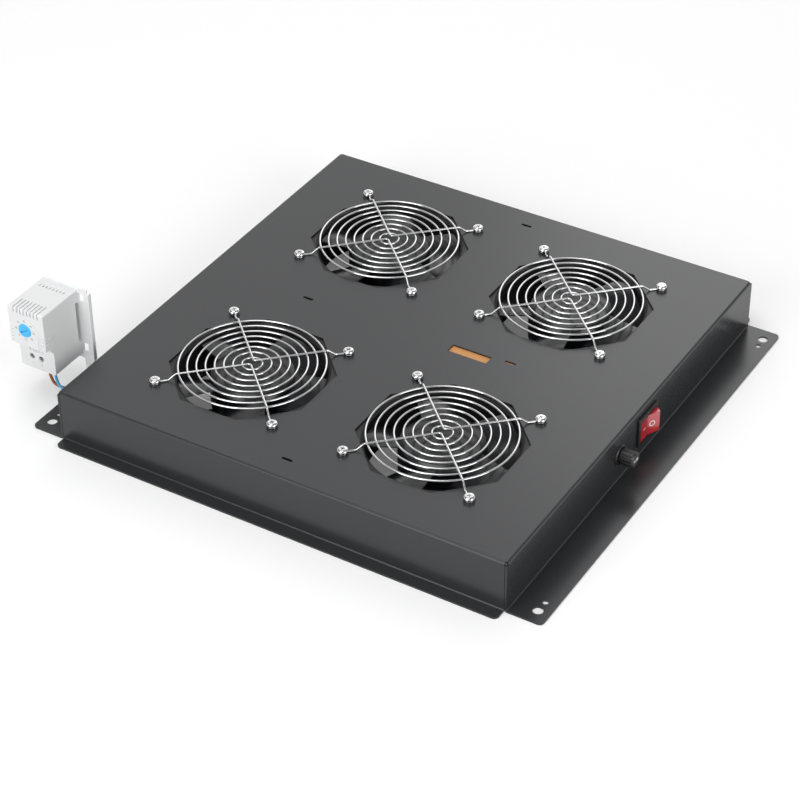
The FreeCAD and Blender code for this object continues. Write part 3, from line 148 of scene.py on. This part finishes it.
def lead(name, points, node):
    """A round lead along one smooth curve; it stands for its solid and rides on the tray. Its points
    carry the radius, so the curve's box is no larger than the lead."""
    curve = bpy.data.curves.new(name, "CURVE")
    curve.dimensions = "3D"
    spline = curve.splines.new("NURBS")
    spline.points.add(len(points) - 1)
    for knot, place in zip(spline.points, points):
        knot.co = (*(Vector(place) * MM), 1.0)
        knot.radius = LEAD_D / 2
    spline.order_u = 3
    spline.use_endpoint_u = True
    curve.bevel_depth = 1.0
    curve.bevel_resolution = 5
    curve.resolution_u = 12
    curve.use_fill_caps = True
    piece = bpy.data.objects.new(name, curve)
    bpy.context.scene.collection.objects.link(piece)
    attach(piece, "tray")
    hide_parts(node)
    return piece


# %% Leads
brown_lead = lead("brown_lead", BROWN_POINTS, "brown_wire")
blue_lead = lead("blue_lead", BLUE_POINTS, "blue_wire")
print("leads", brown_lead.name, blue_lead.name)

# %% [markdown]
# ## Making a finish
# Every finish starts from one shader with typical values for the real material. One function turns
# a written colour into the linear numbers that the shader wants, and one adds a node.

# %% Finish helpers
def linear(colour, alpha=1.0):
    """Linear RGBA from a written sRGB colour such as "#2b2c2e"."""
    parts = [int(colour[i:i + 2], 16) / 255 for i in (1, 3, 5)]
    low, cut = 12.92, 0.04045
    return [part / low if part <= cut else ((part + 0.055) / 1.055) ** 2.4 for part in parts] + [alpha]


def finish(name, colour, roughness, metallic=0.0, ior=None):
    """A new material with its shader; returns (material, shader)."""
    material = bpy.data.materials.new(name)
    material.use_nodes = True
    shader = material.node_tree.nodes["Principled BSDF"]
    shader.inputs["Base Color"].default_value = linear(colour)
    shader.inputs["Roughness"].default_value = roughness
    shader.inputs["Metallic"].default_value = metallic
    if ior:
        shader.inputs["IOR"].default_value = ior
    return material, shader


def add_node(material, kind, settings=None, links=None):
    """Add a node, set its properties and sockets, and link sockets given as {name: (node, output)}."""
    tree = material.node_tree
    node = tree.nodes.new(kind)
    for key, value in (settings or {}).items():
        if isinstance(key, int) or key in node.inputs:
            node.inputs[key].default_value = value
        else:
            setattr(node, key, value)
    for socket, (source, output) in (links or {}).items():
        tree.links.new(source.outputs[output], node.inputs[socket])
    return node


def link(material, source, output, target, socket):
    material.node_tree.links.new(source.outputs[output], target.inputs[socket])


def grain(material, shader, size_mm, depth_mm, strength=1.0, detail=2.0):
    """Bump of soft grains of the given real size and depth, all over a piece."""
    place = add_node(material, "ShaderNodeTexCoord")
    noise = add_node(material, "ShaderNodeTexNoise",
                     {"Scale": 1 / (size_mm * MM), "Detail": detail, "Roughness": 0.55},
                     {"Vector": (place, "Object")})
    bump = add_node(material, "ShaderNodeBump", {"Strength": strength, "Distance": depth_mm * MM},
                    {"Height": (noise, "Fac")})
    link(material, bump, "Normal", shader, "Normal")
    return noise


DRESSED = set()


def dress(node, material):
    """Put one material on a CAD node or piece, and note that it has its finish."""
    thing = NODES[node] if isinstance(node, str) else node
    thing.data.materials.clear()
    thing.data.materials.append(material)
    DRESSED.add(thing.name)


# %% [markdown]
# ## Powder-coated steel
# The tray is sheet steel under a dark grey polyester powder coat. The powder melts into a skin with
# a fine orange-peel grain, half a millimetre or so across, that breaks reflections into a soft sheen.

# %% Powder coat
# a dark neutral grey; the low roughness lets it mirror walls and flanges softly
# the grain is drawn at 0.9 mm, coarser than the real one, so that it shows
powder_coat, shader = finish("powder_coat_dark_grey", "#2e2f31", 0.26, ior=1.5)
grain(powder_coat, shader, 0.9, 0.05, strength=0.12)
dress("tray_shell", powder_coat)
print(powder_coat.name)

# %% [markdown]
# ## Bright metals
# The guards and their screws are nickel-chromed steel, nearly a mirror. Nuts, studs and small screws
# are zinc-plated, which is duller and slightly blue.

# %% Metals
# bright lines and small sparks that the room is mirrored in
bright_chrome, _ = finish("nickel_chrome_plate", "#dcdcdd", 0.12, metallic=1.0)
# a cool, slightly mottled grey
zinc_plate, shader = finish("zinc_plated_steel", "#b4b8bb", 0.38, metallic=1.0)
grain(zinc_plate, shader, 1.5, 0.02, strength=0.3)
# a clean bright turned surface
ground_steel, _ = finish("ground_steel", "#b5b5b6", 0.25, metallic=1.0)
# a dull dark metal inside the hub
pressed_steel, _ = finish("pressed_rotor_steel", "#77797c", 0.4, metallic=1.0)
# a pale gold on contacts
plated_brass, _ = finish("plated_brass", "#c9ad6c", 0.3, metallic=1.0)
# a light, soft metal at the bottom of the terminal wells
matt_nickel, _ = finish("matt_nickel_plate", "#e6e6e4", 0.6, metallic=0.8)
for node in ("guard_nuts", "board_studs", "block_screws", "lead_block_screws", "inlet_screws",
             "bracket_screw"):
    dress(node, zinc_plate)
for node in ("switch_terminals", "inlet_pins", "earth_stud", "fuse_carrier"):
    dress(node, plated_brass)
dress("fan_bearings", ground_steel)
dress("thermostat_screws", matt_nickel)
print("nodes with their finish so far", len(DRESSED))

# %% [markdown]
# The bracket's plate is painted steel sheet: a pale grey stove enamel, satin and quite even.

# %% Enamel
# nearly white, with no grain that shows at arm's length
stove_enamel, shader = finish("pale_grey_stove_enamel", "#f1f2f3", 0.4, ior=1.5)
grain(stove_enamel, shader, 1.2, 0.02, strength=0.2)
dress("thermostat_bracket", stove_enamel)
print(stove_enamel.name)

# %% [markdown]
# ## The fans' finishes
# The frames are die-cast and blackened, a little rough. The impellers are a glossy black moulding.
# Inside, the stator's windings show copper from below.

# %% Fan finishes
# a flat black with a cast skin
die_cast_black, shader = finish("blackened_die_casting", "#1b1b1d", 0.5)
grain(die_cast_black, shader, 0.6, 0.03, strength=0.4)
# black with clear highlights along the blades
gloss_black, _ = finish("gloss_black_moulding", "#16171a", 0.22, ior=1.5)
# red-brown wire under varnish
copper_winding, _ = finish("enamelled_copper_winding", "#8a4a22", 0.35, metallic=0.8)
for fan in FANS:
    dress("fan_frame_" + fan, die_cast_black)
    dress("fan_impeller_" + fan, gloss_black)
    dress("fan_rotor_cup_" + fan, pressed_steel)
    dress("fan_shaft_" + fan, ground_steel)
    dress("fan_stator_" + fan, copper_winding)
print("fans dressed", len(FANS))

# %% [markdown]
# ## Plastics
# Small moulded parts: polyamide housings in satin black, a natural white terminal strip, a tan
# insulating board, a light grey thermostat with a blue dial, and soft coloured lead insulation.

# %% Plastic finishes
# black with a soft, wide highlight
satin_black, shader = finish("satin_black_polyamide", "#1d1d1f", 0.38, ior=1.5)
grain(satin_black, shader, 0.5, 0.02, strength=0.3)
# a warm off-white
natural_white, _ = finish("natural_white_polyamide", "#dcd9cf", 0.45, ior=1.5)
# a flat wood-like tan, seen through the plate's window
tan_board, shader = finish("tan_insulating_board", "#c98f52", 0.55)
grain(tan_board, shader, 1.2, 0.04, strength=0.3)
# black with no highlight
black_rubber, _ = finish("black_rubber", "#1c1c1c", 0.65)
# a pale cool grey with a fine mould texture
light_grey, shader = finish("light_grey_polycarbonate", "#dfe1e1", 0.42, ior=1.5)
grain(light_grey, shader, 0.4, 0.015, strength=0.25)
# a clear sky blue
dial_blue, _ = finish("blue_moulding", "#43b6ee", 0.35, ior=1.5)
# lead insulation in the two usual colours, slightly shiny
brown_cover, _ = finish("brown_lead_insulation", "#a9683c", 0.35, ior=1.5)
blue_cover, _ = finish("light_blue_lead_insulation", "#5dbbe8", 0.35, ior=1.5)
# deep red under a glossy skin that turns pink where it mirrors the room
rocker_red, shader = finish("red_polycarbonate", "#b40f1e", 0.3, ior=1.58)
shader.inputs["Coat Weight"].default_value = 1.0
shader.inputs["Coat IOR"].default_value = 1.8
shader.inputs["Coat Roughness"].default_value = 0.08
# a clear tube with bright edges
clear_glass, shader = finish("clear_glass", "#f4f7f8", 0.03, ior=1.5)
shader.inputs["Transmission Weight"].default_value = 1.0
print("plastics", satin_black.name, natural_white.name, light_grey.name)

# %% Plastics in place
for node in ("switch_housing", "fuse_body", "fuse_nut", "fuse_cap", "inlet_housing"):
    dress(node, satin_black)
for node in ("terminal_block", "lead_block"):
    dress(node, natural_white)
for node in ("thermostat_cover", "thermostat_base", "rail_clip"):
    dress(node, light_grey)
dress("terminal_board", tan_board)
dress("wire_grommet", black_rubber)
dress("thermostat_dial", dial_blue)
dress("switch_rocker", rocker_red)
dress("glass_fuse", clear_glass)
dress(brown_lead, brown_cover)
dress(blue_lead, blue_cover)
undressed = [name for name, thing in NODES.items() if thing.name not in DRESSED]
print("left to the pieces that stand for them", undressed)

# %% [markdown]
# ## Finger guards
# A real guard is round wire: eight welded rings under two bent rods, whose ends step down to the
# plate and curl into eyes for the screws. Wire is easiest to make the way a bender makes it. A round
# section is pushed along a straight run, then swung about the middle of a bend, and so on to its end.

# %% Wire bending helpers
WIRE_R = 0.8 * MM
WIRE_SIDES = 10
RING_STEPS = 72
WELD_GAP = 0.01 * MM


def start_wire(name, place, heading):
    """A round wire section as a new object in edit mode, all selected, facing along heading."""
    bpy.ops.object.select_all(action="DESELECT")
    turn = heading.to_track_quat("Z", "Y").to_euler()
    bpy.ops.mesh.primitive_circle_add(vertices=WIRE_SIDES, radius=WIRE_R, location=place, rotation=turn)
    piece = bpy.context.object
    piece.name = name
    bpy.ops.object.transform_apply(location=True, rotation=True, scale=True)
    bpy.ops.object.mode_set(mode="EDIT")
    bpy.ops.mesh.select_all(action="SELECT")
    return piece


def run_wire(place, heading, length):
    """Push the selected section straight on; returns the new place."""
    bpy.ops.mesh.extrude_region_move(TRANSFORM_OT_translate={"value": heading * length})
    return place + heading * length


def bend_wire(place, heading, axis, degrees, radius, steps):
    """Swing the selected section about a bend; returns the new place and heading. Spin's own
    angle counts the other way round its axis than a rotation matrix's does."""
    centre = place + axis.cross(heading) * radius
    angle = math.radians(degrees)
    bpy.ops.mesh.spin(steps=steps, angle=-angle, center=centre, axis=axis)
    turn = Matrix.Rotation(angle, 3, axis)
    return centre + turn @ (place - centre), turn @ heading


def finish_wire():
    """Close the ends of the wire being bent, point its faces outwards and leave edit mode."""
    bpy.ops.mesh.select_all(action="SELECT")
    bpy.ops.mesh.remove_doubles(threshold=WELD_GAP)
    bpy.ops.mesh.select_all(action="DESELECT")
    bpy.ops.mesh.select_mode(type="EDGE")
    bpy.ops.mesh.select_non_manifold()
    bpy.ops.mesh.edge_face_add()
    bpy.ops.mesh.select_mode(type="VERT")
    bpy.ops.mesh.select_all(action="SELECT")
    bpy.ops.mesh.normals_make_consistent(inside=False)
    bpy.ops.object.mode_set(mode="OBJECT")
    bpy.ops.object.shade_smooth_by_angle(angle=math.radians(40))


# %% [markdown]
# The rings first. Their sections stand side by side on one radius, so a single full turn makes all
# eight at once.

# %% Guard rings
RING_COUNT = 8
RING_OUTER_MM = 56.0
RING_PITCH_MM = 6.9
RING_RADII = [(RING_OUTER_MM - RING_PITCH_MM * i) * MM for i in range(RING_COUNT)]
RING_HEIGHT = PLATE_TOP + 3.4 * MM + WIRE_R


def guard_rings(centre):
    """Eight rings about a fan's axis, swept from eight sections by one full turn."""
    middle_point = Vector((centre.x, centre.y, RING_HEIGHT))
    sections = []
    for radius in RING_RADII:
        place = middle_point + Vector((radius, 0, 0))
        sections.append(start_wire("ring_section", place, Vector((0, 1, 0))))
        bpy.ops.object.mode_set(mode="OBJECT")
    for section in sections:
        section.select_set(True)
    bpy.context.view_layer.objects.active = sections[0]
    bpy.ops.object.join()
    bpy.ops.object.mode_set(mode="EDIT")
    bpy.ops.mesh.select_all(action="SELECT")
    bpy.ops.mesh.spin(steps=RING_STEPS, angle=2 * math.pi, center=middle_point, axis=(0, 0, 1))
    bpy.ops.mesh.select_all(action="SELECT")
    bpy.ops.mesh.remove_doubles(threshold=WELD_GAP)
    bpy.ops.mesh.normals_make_consistent(inside=False)
    bpy.ops.object.mode_set(mode="OBJECT")
    bpy.ops.object.shade_smooth()
    return bpy.context.object


# %% [markdown]
# Each rod is one wire from eye to eye. Both halves are the same moves mirrored, so the rod is bent
# from the first eye inwards, round its middle bend, and out again.

# %% Guard rods
SCREW_PITCH = 105.0 * MM
ROD_OFFSET = 2.2 * MM
EYE_R = 3.05 * MM
EYE_LEAD_R = 1.6 * MM
ROD_BEND_R = 2.4 * MM
STEP_R = 3.0 * MM
STEP_AT = 64.0 * MM
WELD_SINK = 0.3 * MM
ROD_HIGH = RING_HEIGHT + 2 * WIRE_R - WELD_SINK
ROD_LOW = PLATE_TOP + WIRE_R
LOOP_TURN = 300.0
STEP_TILT = 38.0
SHORTEST_RUN = 0.5 * MM
EYE_STEPS = 24
LEAD_STEPS = 6
STEP_STEPS = 4
APEX_STEPS = 8
UP = Vector((0, 0, 1))


def joggle(place, heading, rise):
    """The step between plate level and the top of the rings, up or down by rise."""
    across = heading.cross(UP)
    sign = 1 if rise > 0 else -1
    sink = 2 * STEP_R * (1 - math.cos(math.radians(STEP_TILT)))
    slope = (abs(rise) - sink) / math.sin(math.radians(STEP_TILT))
    place, heading = bend_wire(place, heading, across * sign, STEP_TILT, STEP_R, STEP_STEPS)
    place = run_wire(place, heading, slope)
    return bend_wire(place, heading, -across * sign, STEP_TILT, STEP_R, STEP_STEPS)


def eye_start(eye, heading, lead_in):
    """Where the wire of an eye begins, and which way it sets off, so that it leaves along heading."""
    local = Matrix((-heading, UP.cross(-heading), UP)).transposed()
    angle = math.pi + math.atan2(EYE_LEAD_R, lead_in) + math.radians(LOOP_TURN)
    start = eye + local @ (Vector((math.cos(angle), math.sin(angle), 0)) * EYE_R)
    return start, local @ Vector((math.sin(angle), -math.cos(angle), 0))


# %% Guard rod from its moves
def guard_rod(centre, quarter_turns):
    """One rod of a guard, its eyes on the side that the quarter turns point to."""
    side = Matrix.Rotation(math.radians(90 * quarter_turns), 3, "Z")
    half = SCREW_PITCH / 2
    apex = Vector((ROD_OFFSET, 0, 0))
    eye = Vector((half, half, 0))
    reach = (eye - apex).length
    lean = math.atan2(half, half - ROD_OFFSET)
    lead_in = math.sqrt(EYE_R ** 2 + 2 * EYE_R * EYE_LEAD_R)
    lead_turn = 90 - math.degrees(math.atan2(EYE_LEAD_R, lead_in))
    inbound = Vector((-math.cos(lean), -math.sin(lean), 0))
    start, first = eye_start(eye, inbound, lead_in)
    place = Vector((centre.x, centre.y, ROD_LOW)) + side @ start
    heading = side @ first
    rise = ROD_HIGH - ROD_LOW
    outer_run = max(reach - lead_in - STEP_AT, SHORTEST_RUN)
    turn = 180 - 2 * math.degrees(lean)
    tuck = ROD_BEND_R * math.tan(math.radians(turn / 2))

    rod = start_wire("guard_rod", place, heading)
    place, heading = bend_wire(place, heading, -UP, LOOP_TURN, EYE_R, EYE_STEPS)
    place, heading = bend_wire(place, heading, UP, lead_turn, EYE_LEAD_R, LEAD_STEPS)
    place = run_wire(place, heading, outer_run)
    before = place.copy()
    place, heading = joggle(place, heading, rise)
    inner_run = reach - lead_in - outer_run - (place - before).xy.length - tuck
    place = run_wire(place, heading, inner_run)
    place, heading = bend_wire(place, heading, UP, turn, ROD_BEND_R, APEX_STEPS)
    place = run_wire(place, heading, inner_run)
    place, heading = joggle(place, heading, -rise)
    place = run_wire(place, heading, outer_run)
    place, heading = bend_wire(place, heading, UP, lead_turn, EYE_LEAD_R, LEAD_STEPS)
    bend_wire(place, heading, -UP, LOOP_TURN, EYE_R, EYE_STEPS)
    finish_wire()
    return rod


# %% Guards in place
guards = []
for fan in FANS:
    axis = PIVOTS["spin_" + fan]
    parts = [guard_rings(axis), guard_rod(axis, 0), guard_rod(axis, 2)]
    bpy.ops.object.select_all(action="DESELECT")
    for part in parts:
        part.select_set(True)
    bpy.context.view_layer.objects.active = parts[0]
    bpy.ops.object.join()
    guard = bpy.context.object
    guard.name = "wire_guard_" + fan
    dress(guard, bright_chrome)
    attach(guard, "tray")
    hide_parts("finger_guards")
    guards.append(guard)
print("guard faces", len(guards[0].data.polygons))

# %% [markdown]
# ## Pan-head screws
# Each guard is held by four pan heads with a cross recess. The head is a disc whose rim is rolled
# over with a wide bevel; the recess is cut with two crossed, tapering bars.

# %% Pan-head screw
HEAD_R = 4.4 * MM
HEAD_RISE = 2.7 * MM
HEAD_SEAT = PLATE_TOP + 2 * WIRE_R
RECESS_LONG = 4.6 * MM
RECESS_WIDE = 1.0 * MM
RECESS_DEEP = 1.5 * MM
RECESS_TAPER = 0.55
HEAD_ROUND = 1.9 * MM
HEAD_SIDES = 32


def flat_cut(thing, cutter):
    """Cut one piece out of another and remove the cutter."""
    boolean = thing.modifiers.new("cut", "BOOLEAN")
    boolean.operation = "DIFFERENCE"
    boolean.object = cutter
    boolean.solver = "EXACT"
    bpy.ops.object.select_all(action="DESELECT")
    thing.select_set(True)
    bpy.context.view_layer.objects.active = thing
    bpy.ops.object.modifier_apply(modifier=boolean.name)
    bpy.data.objects.remove(cutter)


def pan_head():
    """A finished head, its seat at the origin."""
    bpy.ops.object.select_all(action="DESELECT")
    bpy.ops.mesh.primitive_cylinder_add(vertices=HEAD_SIDES, radius=HEAD_R, depth=HEAD_RISE,
                                        location=(0, 0, HEAD_RISE / 2))
    head = bpy.context.object
    bpy.ops.object.transform_apply(location=True, rotation=True, scale=True)
    bpy.ops.object.mode_set(mode="EDIT")
    bpy.ops.mesh.select_mode(type="EDGE")
    bpy.ops.mesh.select_all(action="DESELECT")
    bpy.ops.object.mode_set(mode="OBJECT")
    for edge in head.data.edges:
        heights = [head.data.vertices[i].co.z for i in edge.vertices]
        edge.select = min(heights) > HEAD_RISE - WELD_GAP
    bpy.ops.object.mode_set(mode="EDIT")
    bpy.ops.mesh.bevel(offset=HEAD_ROUND, segments=6, profile=0.5, affect="EDGES")
    bpy.ops.object.mode_set(mode="OBJECT")
    for angle in (0, math.pi / 2):
        bpy.ops.object.select_all(action="DESELECT")
        bpy.ops.mesh.primitive_cube_add(size=1, location=(0, 0, HEAD_RISE))
        bar = bpy.context.object
        bar.scale = (RECESS_LONG, RECESS_WIDE, 2 * RECESS_DEEP)
        bar.rotation_euler.z = angle
        bpy.ops.object.transform_apply(location=True, rotation=True, scale=True)
        bpy.ops.object.mode_set(mode="EDIT")
        bpy.ops.mesh.select_all(action="DESELECT")
        bpy.ops.object.mode_set(mode="OBJECT")
        for vertex in bar.data.vertices:
            vertex.select = vertex.co.z < HEAD_RISE
        bpy.ops.object.mode_set(mode="EDIT")
        bpy.ops.transform.resize(value=(RECESS_TAPER, RECESS_TAPER, 1), center_override=(0, 0, HEAD_RISE))
        bpy.ops.object.mode_set(mode="OBJECT")
        flat_cut(head, bar)
    return head


# %% Screws in place
CORNERS = ((1, 1), (1, -1), (-1, 1), (-1, -1))
FIRST_TURN = 17
FAN_TURN = 61
CORNER_TURN = 37
heads = []
pattern = pan_head()
for number, fan in enumerate(FANS):
    axis = PIVOTS["spin_" + fan]
    for corner, (dx, dy) in enumerate(CORNERS):
        copy = pattern.copy()
        copy.data = pattern.data.copy()
        bpy.context.scene.collection.objects.link(copy)
        place = Vector((axis.x + dx * SCREW_PITCH / 2, axis.y + dy * SCREW_PITCH / 2, HEAD_SEAT))
        turn = math.radians(FIRST_TURN + FAN_TURN * number + CORNER_TURN * corner)
        copy.data.transform(Matrix.Translation(place) @ Matrix.Rotation(turn, 4, "Z"))
        heads.append(copy)
bpy.data.objects.remove(pattern)
bpy.ops.object.select_all(action="DESELECT")
for head in heads:
    head.select_set(True)
bpy.context.view_layer.objects.active = heads[0]
bpy.ops.object.join()
screw_heads = bpy.context.object
screw_heads.name = "guard_screw_heads"
bpy.ops.object.shade_smooth_by_angle(angle=math.radians(35))
dress(screw_heads, bright_chrome)
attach(screw_heads, "tray")
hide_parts("guard_screws")
print("screw heads", len(heads))

# %% [markdown]
# ## Printed marks
# The plain marks on the controls are pad-printed: a film of ink a few hundredths of a millimetre
# thick. Each is typed as text with a little depth, made a mesh, centred on its own outline, and only
# then laid on its surface, half sunk in it.

# %% Print helper
INK_HALF = 0.04 * MM
INK_WELD = 0.001 * MM
# flat white and flat mid-grey films that sit just proud of the plastic
white_ink, _ = finish("white_pad_print", "#eeeeec", 0.5, ior=1.5)
grey_ink, _ = finish("grey_pad_print", "#7d8083", 0.5, ior=1.5)


def printed(text, tall, place, across, up):
    """One line of print whose middle is at place; across and up say how it is read."""
    bpy.ops.object.select_all(action="DESELECT")
    bpy.ops.object.text_add(location=(0, 0, 0))
    line = bpy.context.object
    line.data.body = text
    line.data.size = tall * MM
    line.data.extrude = INK_HALF
    line.data.resolution_u = 6
    bpy.ops.object.convert(target="MESH")
    spots = [vertex.co for vertex in line.data.vertices]
    middle = [(min(spot[i] for spot in spots) + max(spot[i] for spot in spots)) / 2 for i in (0, 1)]
    turn = Matrix((across, up, across.cross(up))).transposed().to_4x4()
    centred = Matrix.Translation((-middle[0], -middle[1], 0))
    line.data.transform(Matrix.Translation(place) @ turn @ centred)
    return line


def print_set(name, lines, ink, body):
    """Join lines of print into one piece that rides on a body."""
    bpy.ops.object.select_all(action="DESELECT")
    for line in lines:
        line.select_set(True)
    bpy.context.view_layer.objects.active = lines[0]
    if len(lines) > 1:
        bpy.ops.object.join()
    bpy.ops.object.mode_set(mode="EDIT")
    bpy.ops.mesh.select_all(action="SELECT")
    bpy.ops.mesh.remove_doubles(threshold=INK_WELD)
    bpy.ops.mesh.normals_make_consistent(inside=False)
    bpy.ops.object.mode_set(mode="OBJECT")
    marks = bpy.context.object
    marks.name = name
    dress(marks, ink)
    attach(marks, body)
    print(name, len(marks.data.polygons), "faces")
    return marks


# %% [markdown]
# The rocker's face is two flats that meet in a shallow valley. The ring is on the raised flat, which
# leans towards the left, and the dash is on the flat that is pressed in. Both are turned to read
# along the rocker.

# %% Rocker marks
SWITCH_MIDDLE = PIVOTS["switch_throw"]
RING_AT = Vector((2.85, -5.76, 0)) * MM
DASH_AT = Vector((-6.4, -3.94, 0)) * MM
RING_TALL = 7.0
DASH_TALL = 5.5
RAISED_LEAN = math.radians(26.4)
raised_across = Vector((math.cos(RAISED_LEAN), -math.sin(RAISED_LEAN), 0))
ring_mark = printed("O", RING_TALL, SWITCH_MIDDLE + RING_AT, raised_across, UP)
dash_mark = printed("I", DASH_TALL, SWITCH_MIDDLE + DASH_AT, UP, Vector((-1, 0, 0)))
print_set("rocker_marks", [ring_mark, dash_mark], white_ink, "rocker")

# %% [markdown]
# The thermostat's scale is a round of numbers in tens of degrees. Two more numbers name its clamps,
# and four short strokes edge its left side.

# %% Thermostat marks
ACROSS = Vector((0, -1, 0))
DIAL_MIDDLE = PIVOTS["dial_turn"]
SCALE_R = 8.5 * MM
SCALE_START = 225
SCALE_STEP = 45.0
SCALE_TALL = 2.5
CLAMP_TALL = 2.4
STROKE_TALL = 2.6
ARCH_FACE = DIAL_MIDDLE.x - 0.5 * MM
NOSE_FACE = DIAL_MIDDLE.x + 8.5 * MM
CLAMP_SIDES = (242.9, 234.1)
CLAMP_DROP = 36.5
STROKE_SIDE = 251.6
STROKE_DROP = 12.4
STROKE_PITCH = 3.2
scale = []
for number in range(7):
    angle = math.radians(SCALE_START - SCALE_STEP * number)
    place = Vector((ARCH_FACE, DIAL_MIDDLE.y, DIAL_MIDDLE.z))
    place += (ACROSS * math.cos(angle) + UP * math.sin(angle)) * SCALE_R
    scale.append(printed(str(10 * number), SCALE_TALL, place, ACROSS, UP))
place = Vector((ARCH_FACE, DIAL_MIDDLE.y, DIAL_MIDDLE.z - SCALE_R))
scale.append(printed("\u00b0C", SCALE_TALL, place, ACROSS, UP))
for number, y in enumerate(CLAMP_SIDES, 1):
    place = Vector((NOSE_FACE, y * MM, DIAL_MIDDLE.z - CLAMP_DROP * MM))
    scale.append(printed(str(number), CLAMP_TALL, place, ACROSS, UP))
for number in range(4):
    height = DIAL_MIDDLE.z - (STROKE_DROP - STROKE_PITCH * number) * MM
    place = Vector((DIAL_MIDDLE.x, STROKE_SIDE * MM, height))
    scale.append(printed("I", STROKE_TALL, place, UP, Vector((0, 1, 0))))
print_set("thermostat_marks", scale, grey_ink, "tray")

# %% [markdown]
# The fuse cap's end carries one plain word.

# %% Fuse cap mark
CAP_WORD_TALL = 3.4
cap_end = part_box("fuse_cap")[0].y
cap_place = Vector((PIVOTS["fuse_turn"].x, cap_end, PIVOTS["fuse_turn"].z))
cap_word = printed("FUSE", CAP_WORD_TALL, cap_place, Vector((1, 0, 0)), UP)
print_set("fuse_cap_mark", [cap_word], white_ink, "cap")

# %% [markdown]
# ## Studio
# The tray lies on a white sweep. The floor is white paper that keeps the tray's soft shadow, and a
# faint light of its own, seen by the camera alone, lifts it to white.

# %% Floor
PAPER = "#ececec"
FLOOR_LIFT = 0.13
bpy.ops.object.select_all(action="DESELECT")
bpy.ops.mesh.primitive_plane_add(size=30)
floor = bpy.context.object
floor.name = "studio_floor"
# matt white paper
paper, paper_shader = finish("white_paper", PAPER, 0.9)
paper_shader.inputs["Specular IOR Level"].default_value = 0.0
ray = add_node(paper, "ShaderNodeLightPath")
level = add_node(paper, "ShaderNodeMath", {"operation": "MULTIPLY", 1: FLOOR_LIFT},
                 {0: (ray, "Is Camera Ray")})
lift = add_node(paper, "ShaderNodeEmission", {"Color": (1, 1, 1, 1)}, {"Strength": (level, "Value")})
both = add_node(paper, "ShaderNodeAddShader", None, {0: (paper_shader, "BSDF"), 1: (lift, "Emission")})
link(paper, both, "Shader", paper.node_tree.nodes["Material Output"], "Surface")
dress(floor, paper)
print("floor of", paper.name)

# %% [markdown]
# The world is white to the camera. To mirrors and glass it is white near the horizon and dims
# towards the ceiling, as a room does above its lamps. To everything else it is an even fill.

# %% World
FILL = 0.45
CEILING = {"From Min": 0.2, "From Max": 0.4, "To Min": 1.0, "To Max": 0.3}
world = bpy.data.worlds.new("studio_world")
bpy.context.scene.world = world
world.use_nodes = True
sky = world.node_tree.nodes["Background"]
sky.inputs["Color"].default_value = (1, 1, 1, 1)
ray = add_node(world, "ShaderNodeLightPath")
mirrored = add_node(world, "ShaderNodeMath", {"operation": "MAXIMUM"},
                    {0: (ray, "Is Glossy Ray"), 1: (ray, "Is Transmission Ray")})
heading = add_node(world, "ShaderNodeTexCoord")
height = add_node(world, "ShaderNodeSeparateXYZ", None, {"Vector": (heading, "Generated")})
ceiling = add_node(world, "ShaderNodeMapRange", CEILING, {"Value": (height, "Z")})
dim = add_node(world, "ShaderNodeMath", {"operation": "MULTIPLY"},
               {0: (ceiling, "Result"), 1: (mirrored, "Value")})
seen = add_node(world, "ShaderNodeMath", {"operation": "MAXIMUM"},
                {0: (dim, "Value"), 1: (ray, "Is Camera Ray")})
plain = add_node(world, "ShaderNodeMath", {"operation": "SUBTRACT", 0: 1.0}, {1: (mirrored, "Value")})
fill = add_node(world, "ShaderNodeMath", {"operation": "MULTIPLY", 0: FILL}, {1: (plain, "Value")})
level = add_node(world, "ShaderNodeMath", {"operation": "MAXIMUM"},
                 {0: (seen, "Value"), 1: (fill, "Value")})
link(world, level, "Value", sky, "Strength")
print("world nodes", len(world.node_tree.nodes))

# %% [markdown]
# Five soft lamps: one overhead, one at each side of the camera, a broad one behind that the top
# plate mirrors as its sheen, and a small one that lifts the sheen's right end.

# %% Lamps
def softbox(name, place, size, watts):
    """A square lamp at place that faces the tray."""
    bpy.ops.object.select_all(action="DESELECT")
    bpy.ops.object.light_add(type="AREA", location=place)
    lamp = bpy.context.object
    lamp.name = name
    lamp.data.size = size
    lamp.data.energy = watts
    lamp.rotation_euler = (Vector(place) - CAMERA_TARGET).to_track_quat("Z", "Y").to_euler()
    return lamp


softbox("overhead_softbox", (-0.5, 0.3, 2.2), 1.2, 15)
softbox("left_softbox", (-2.2, 0.4, 1.0), 1.4, 22)
softbox("front_softbox", (-0.6, -2.3, 1.0), 1.4, 24)
softbox("sheen_softbox", (1.9, 1.1, 1.45), 2.2, 12)
softbox("right_softbox", (2.0, 0.35, 1.25), 1.1, 5)

# %% Colours
view = bpy.context.scene.view_settings
view.view_transform = "Standard"
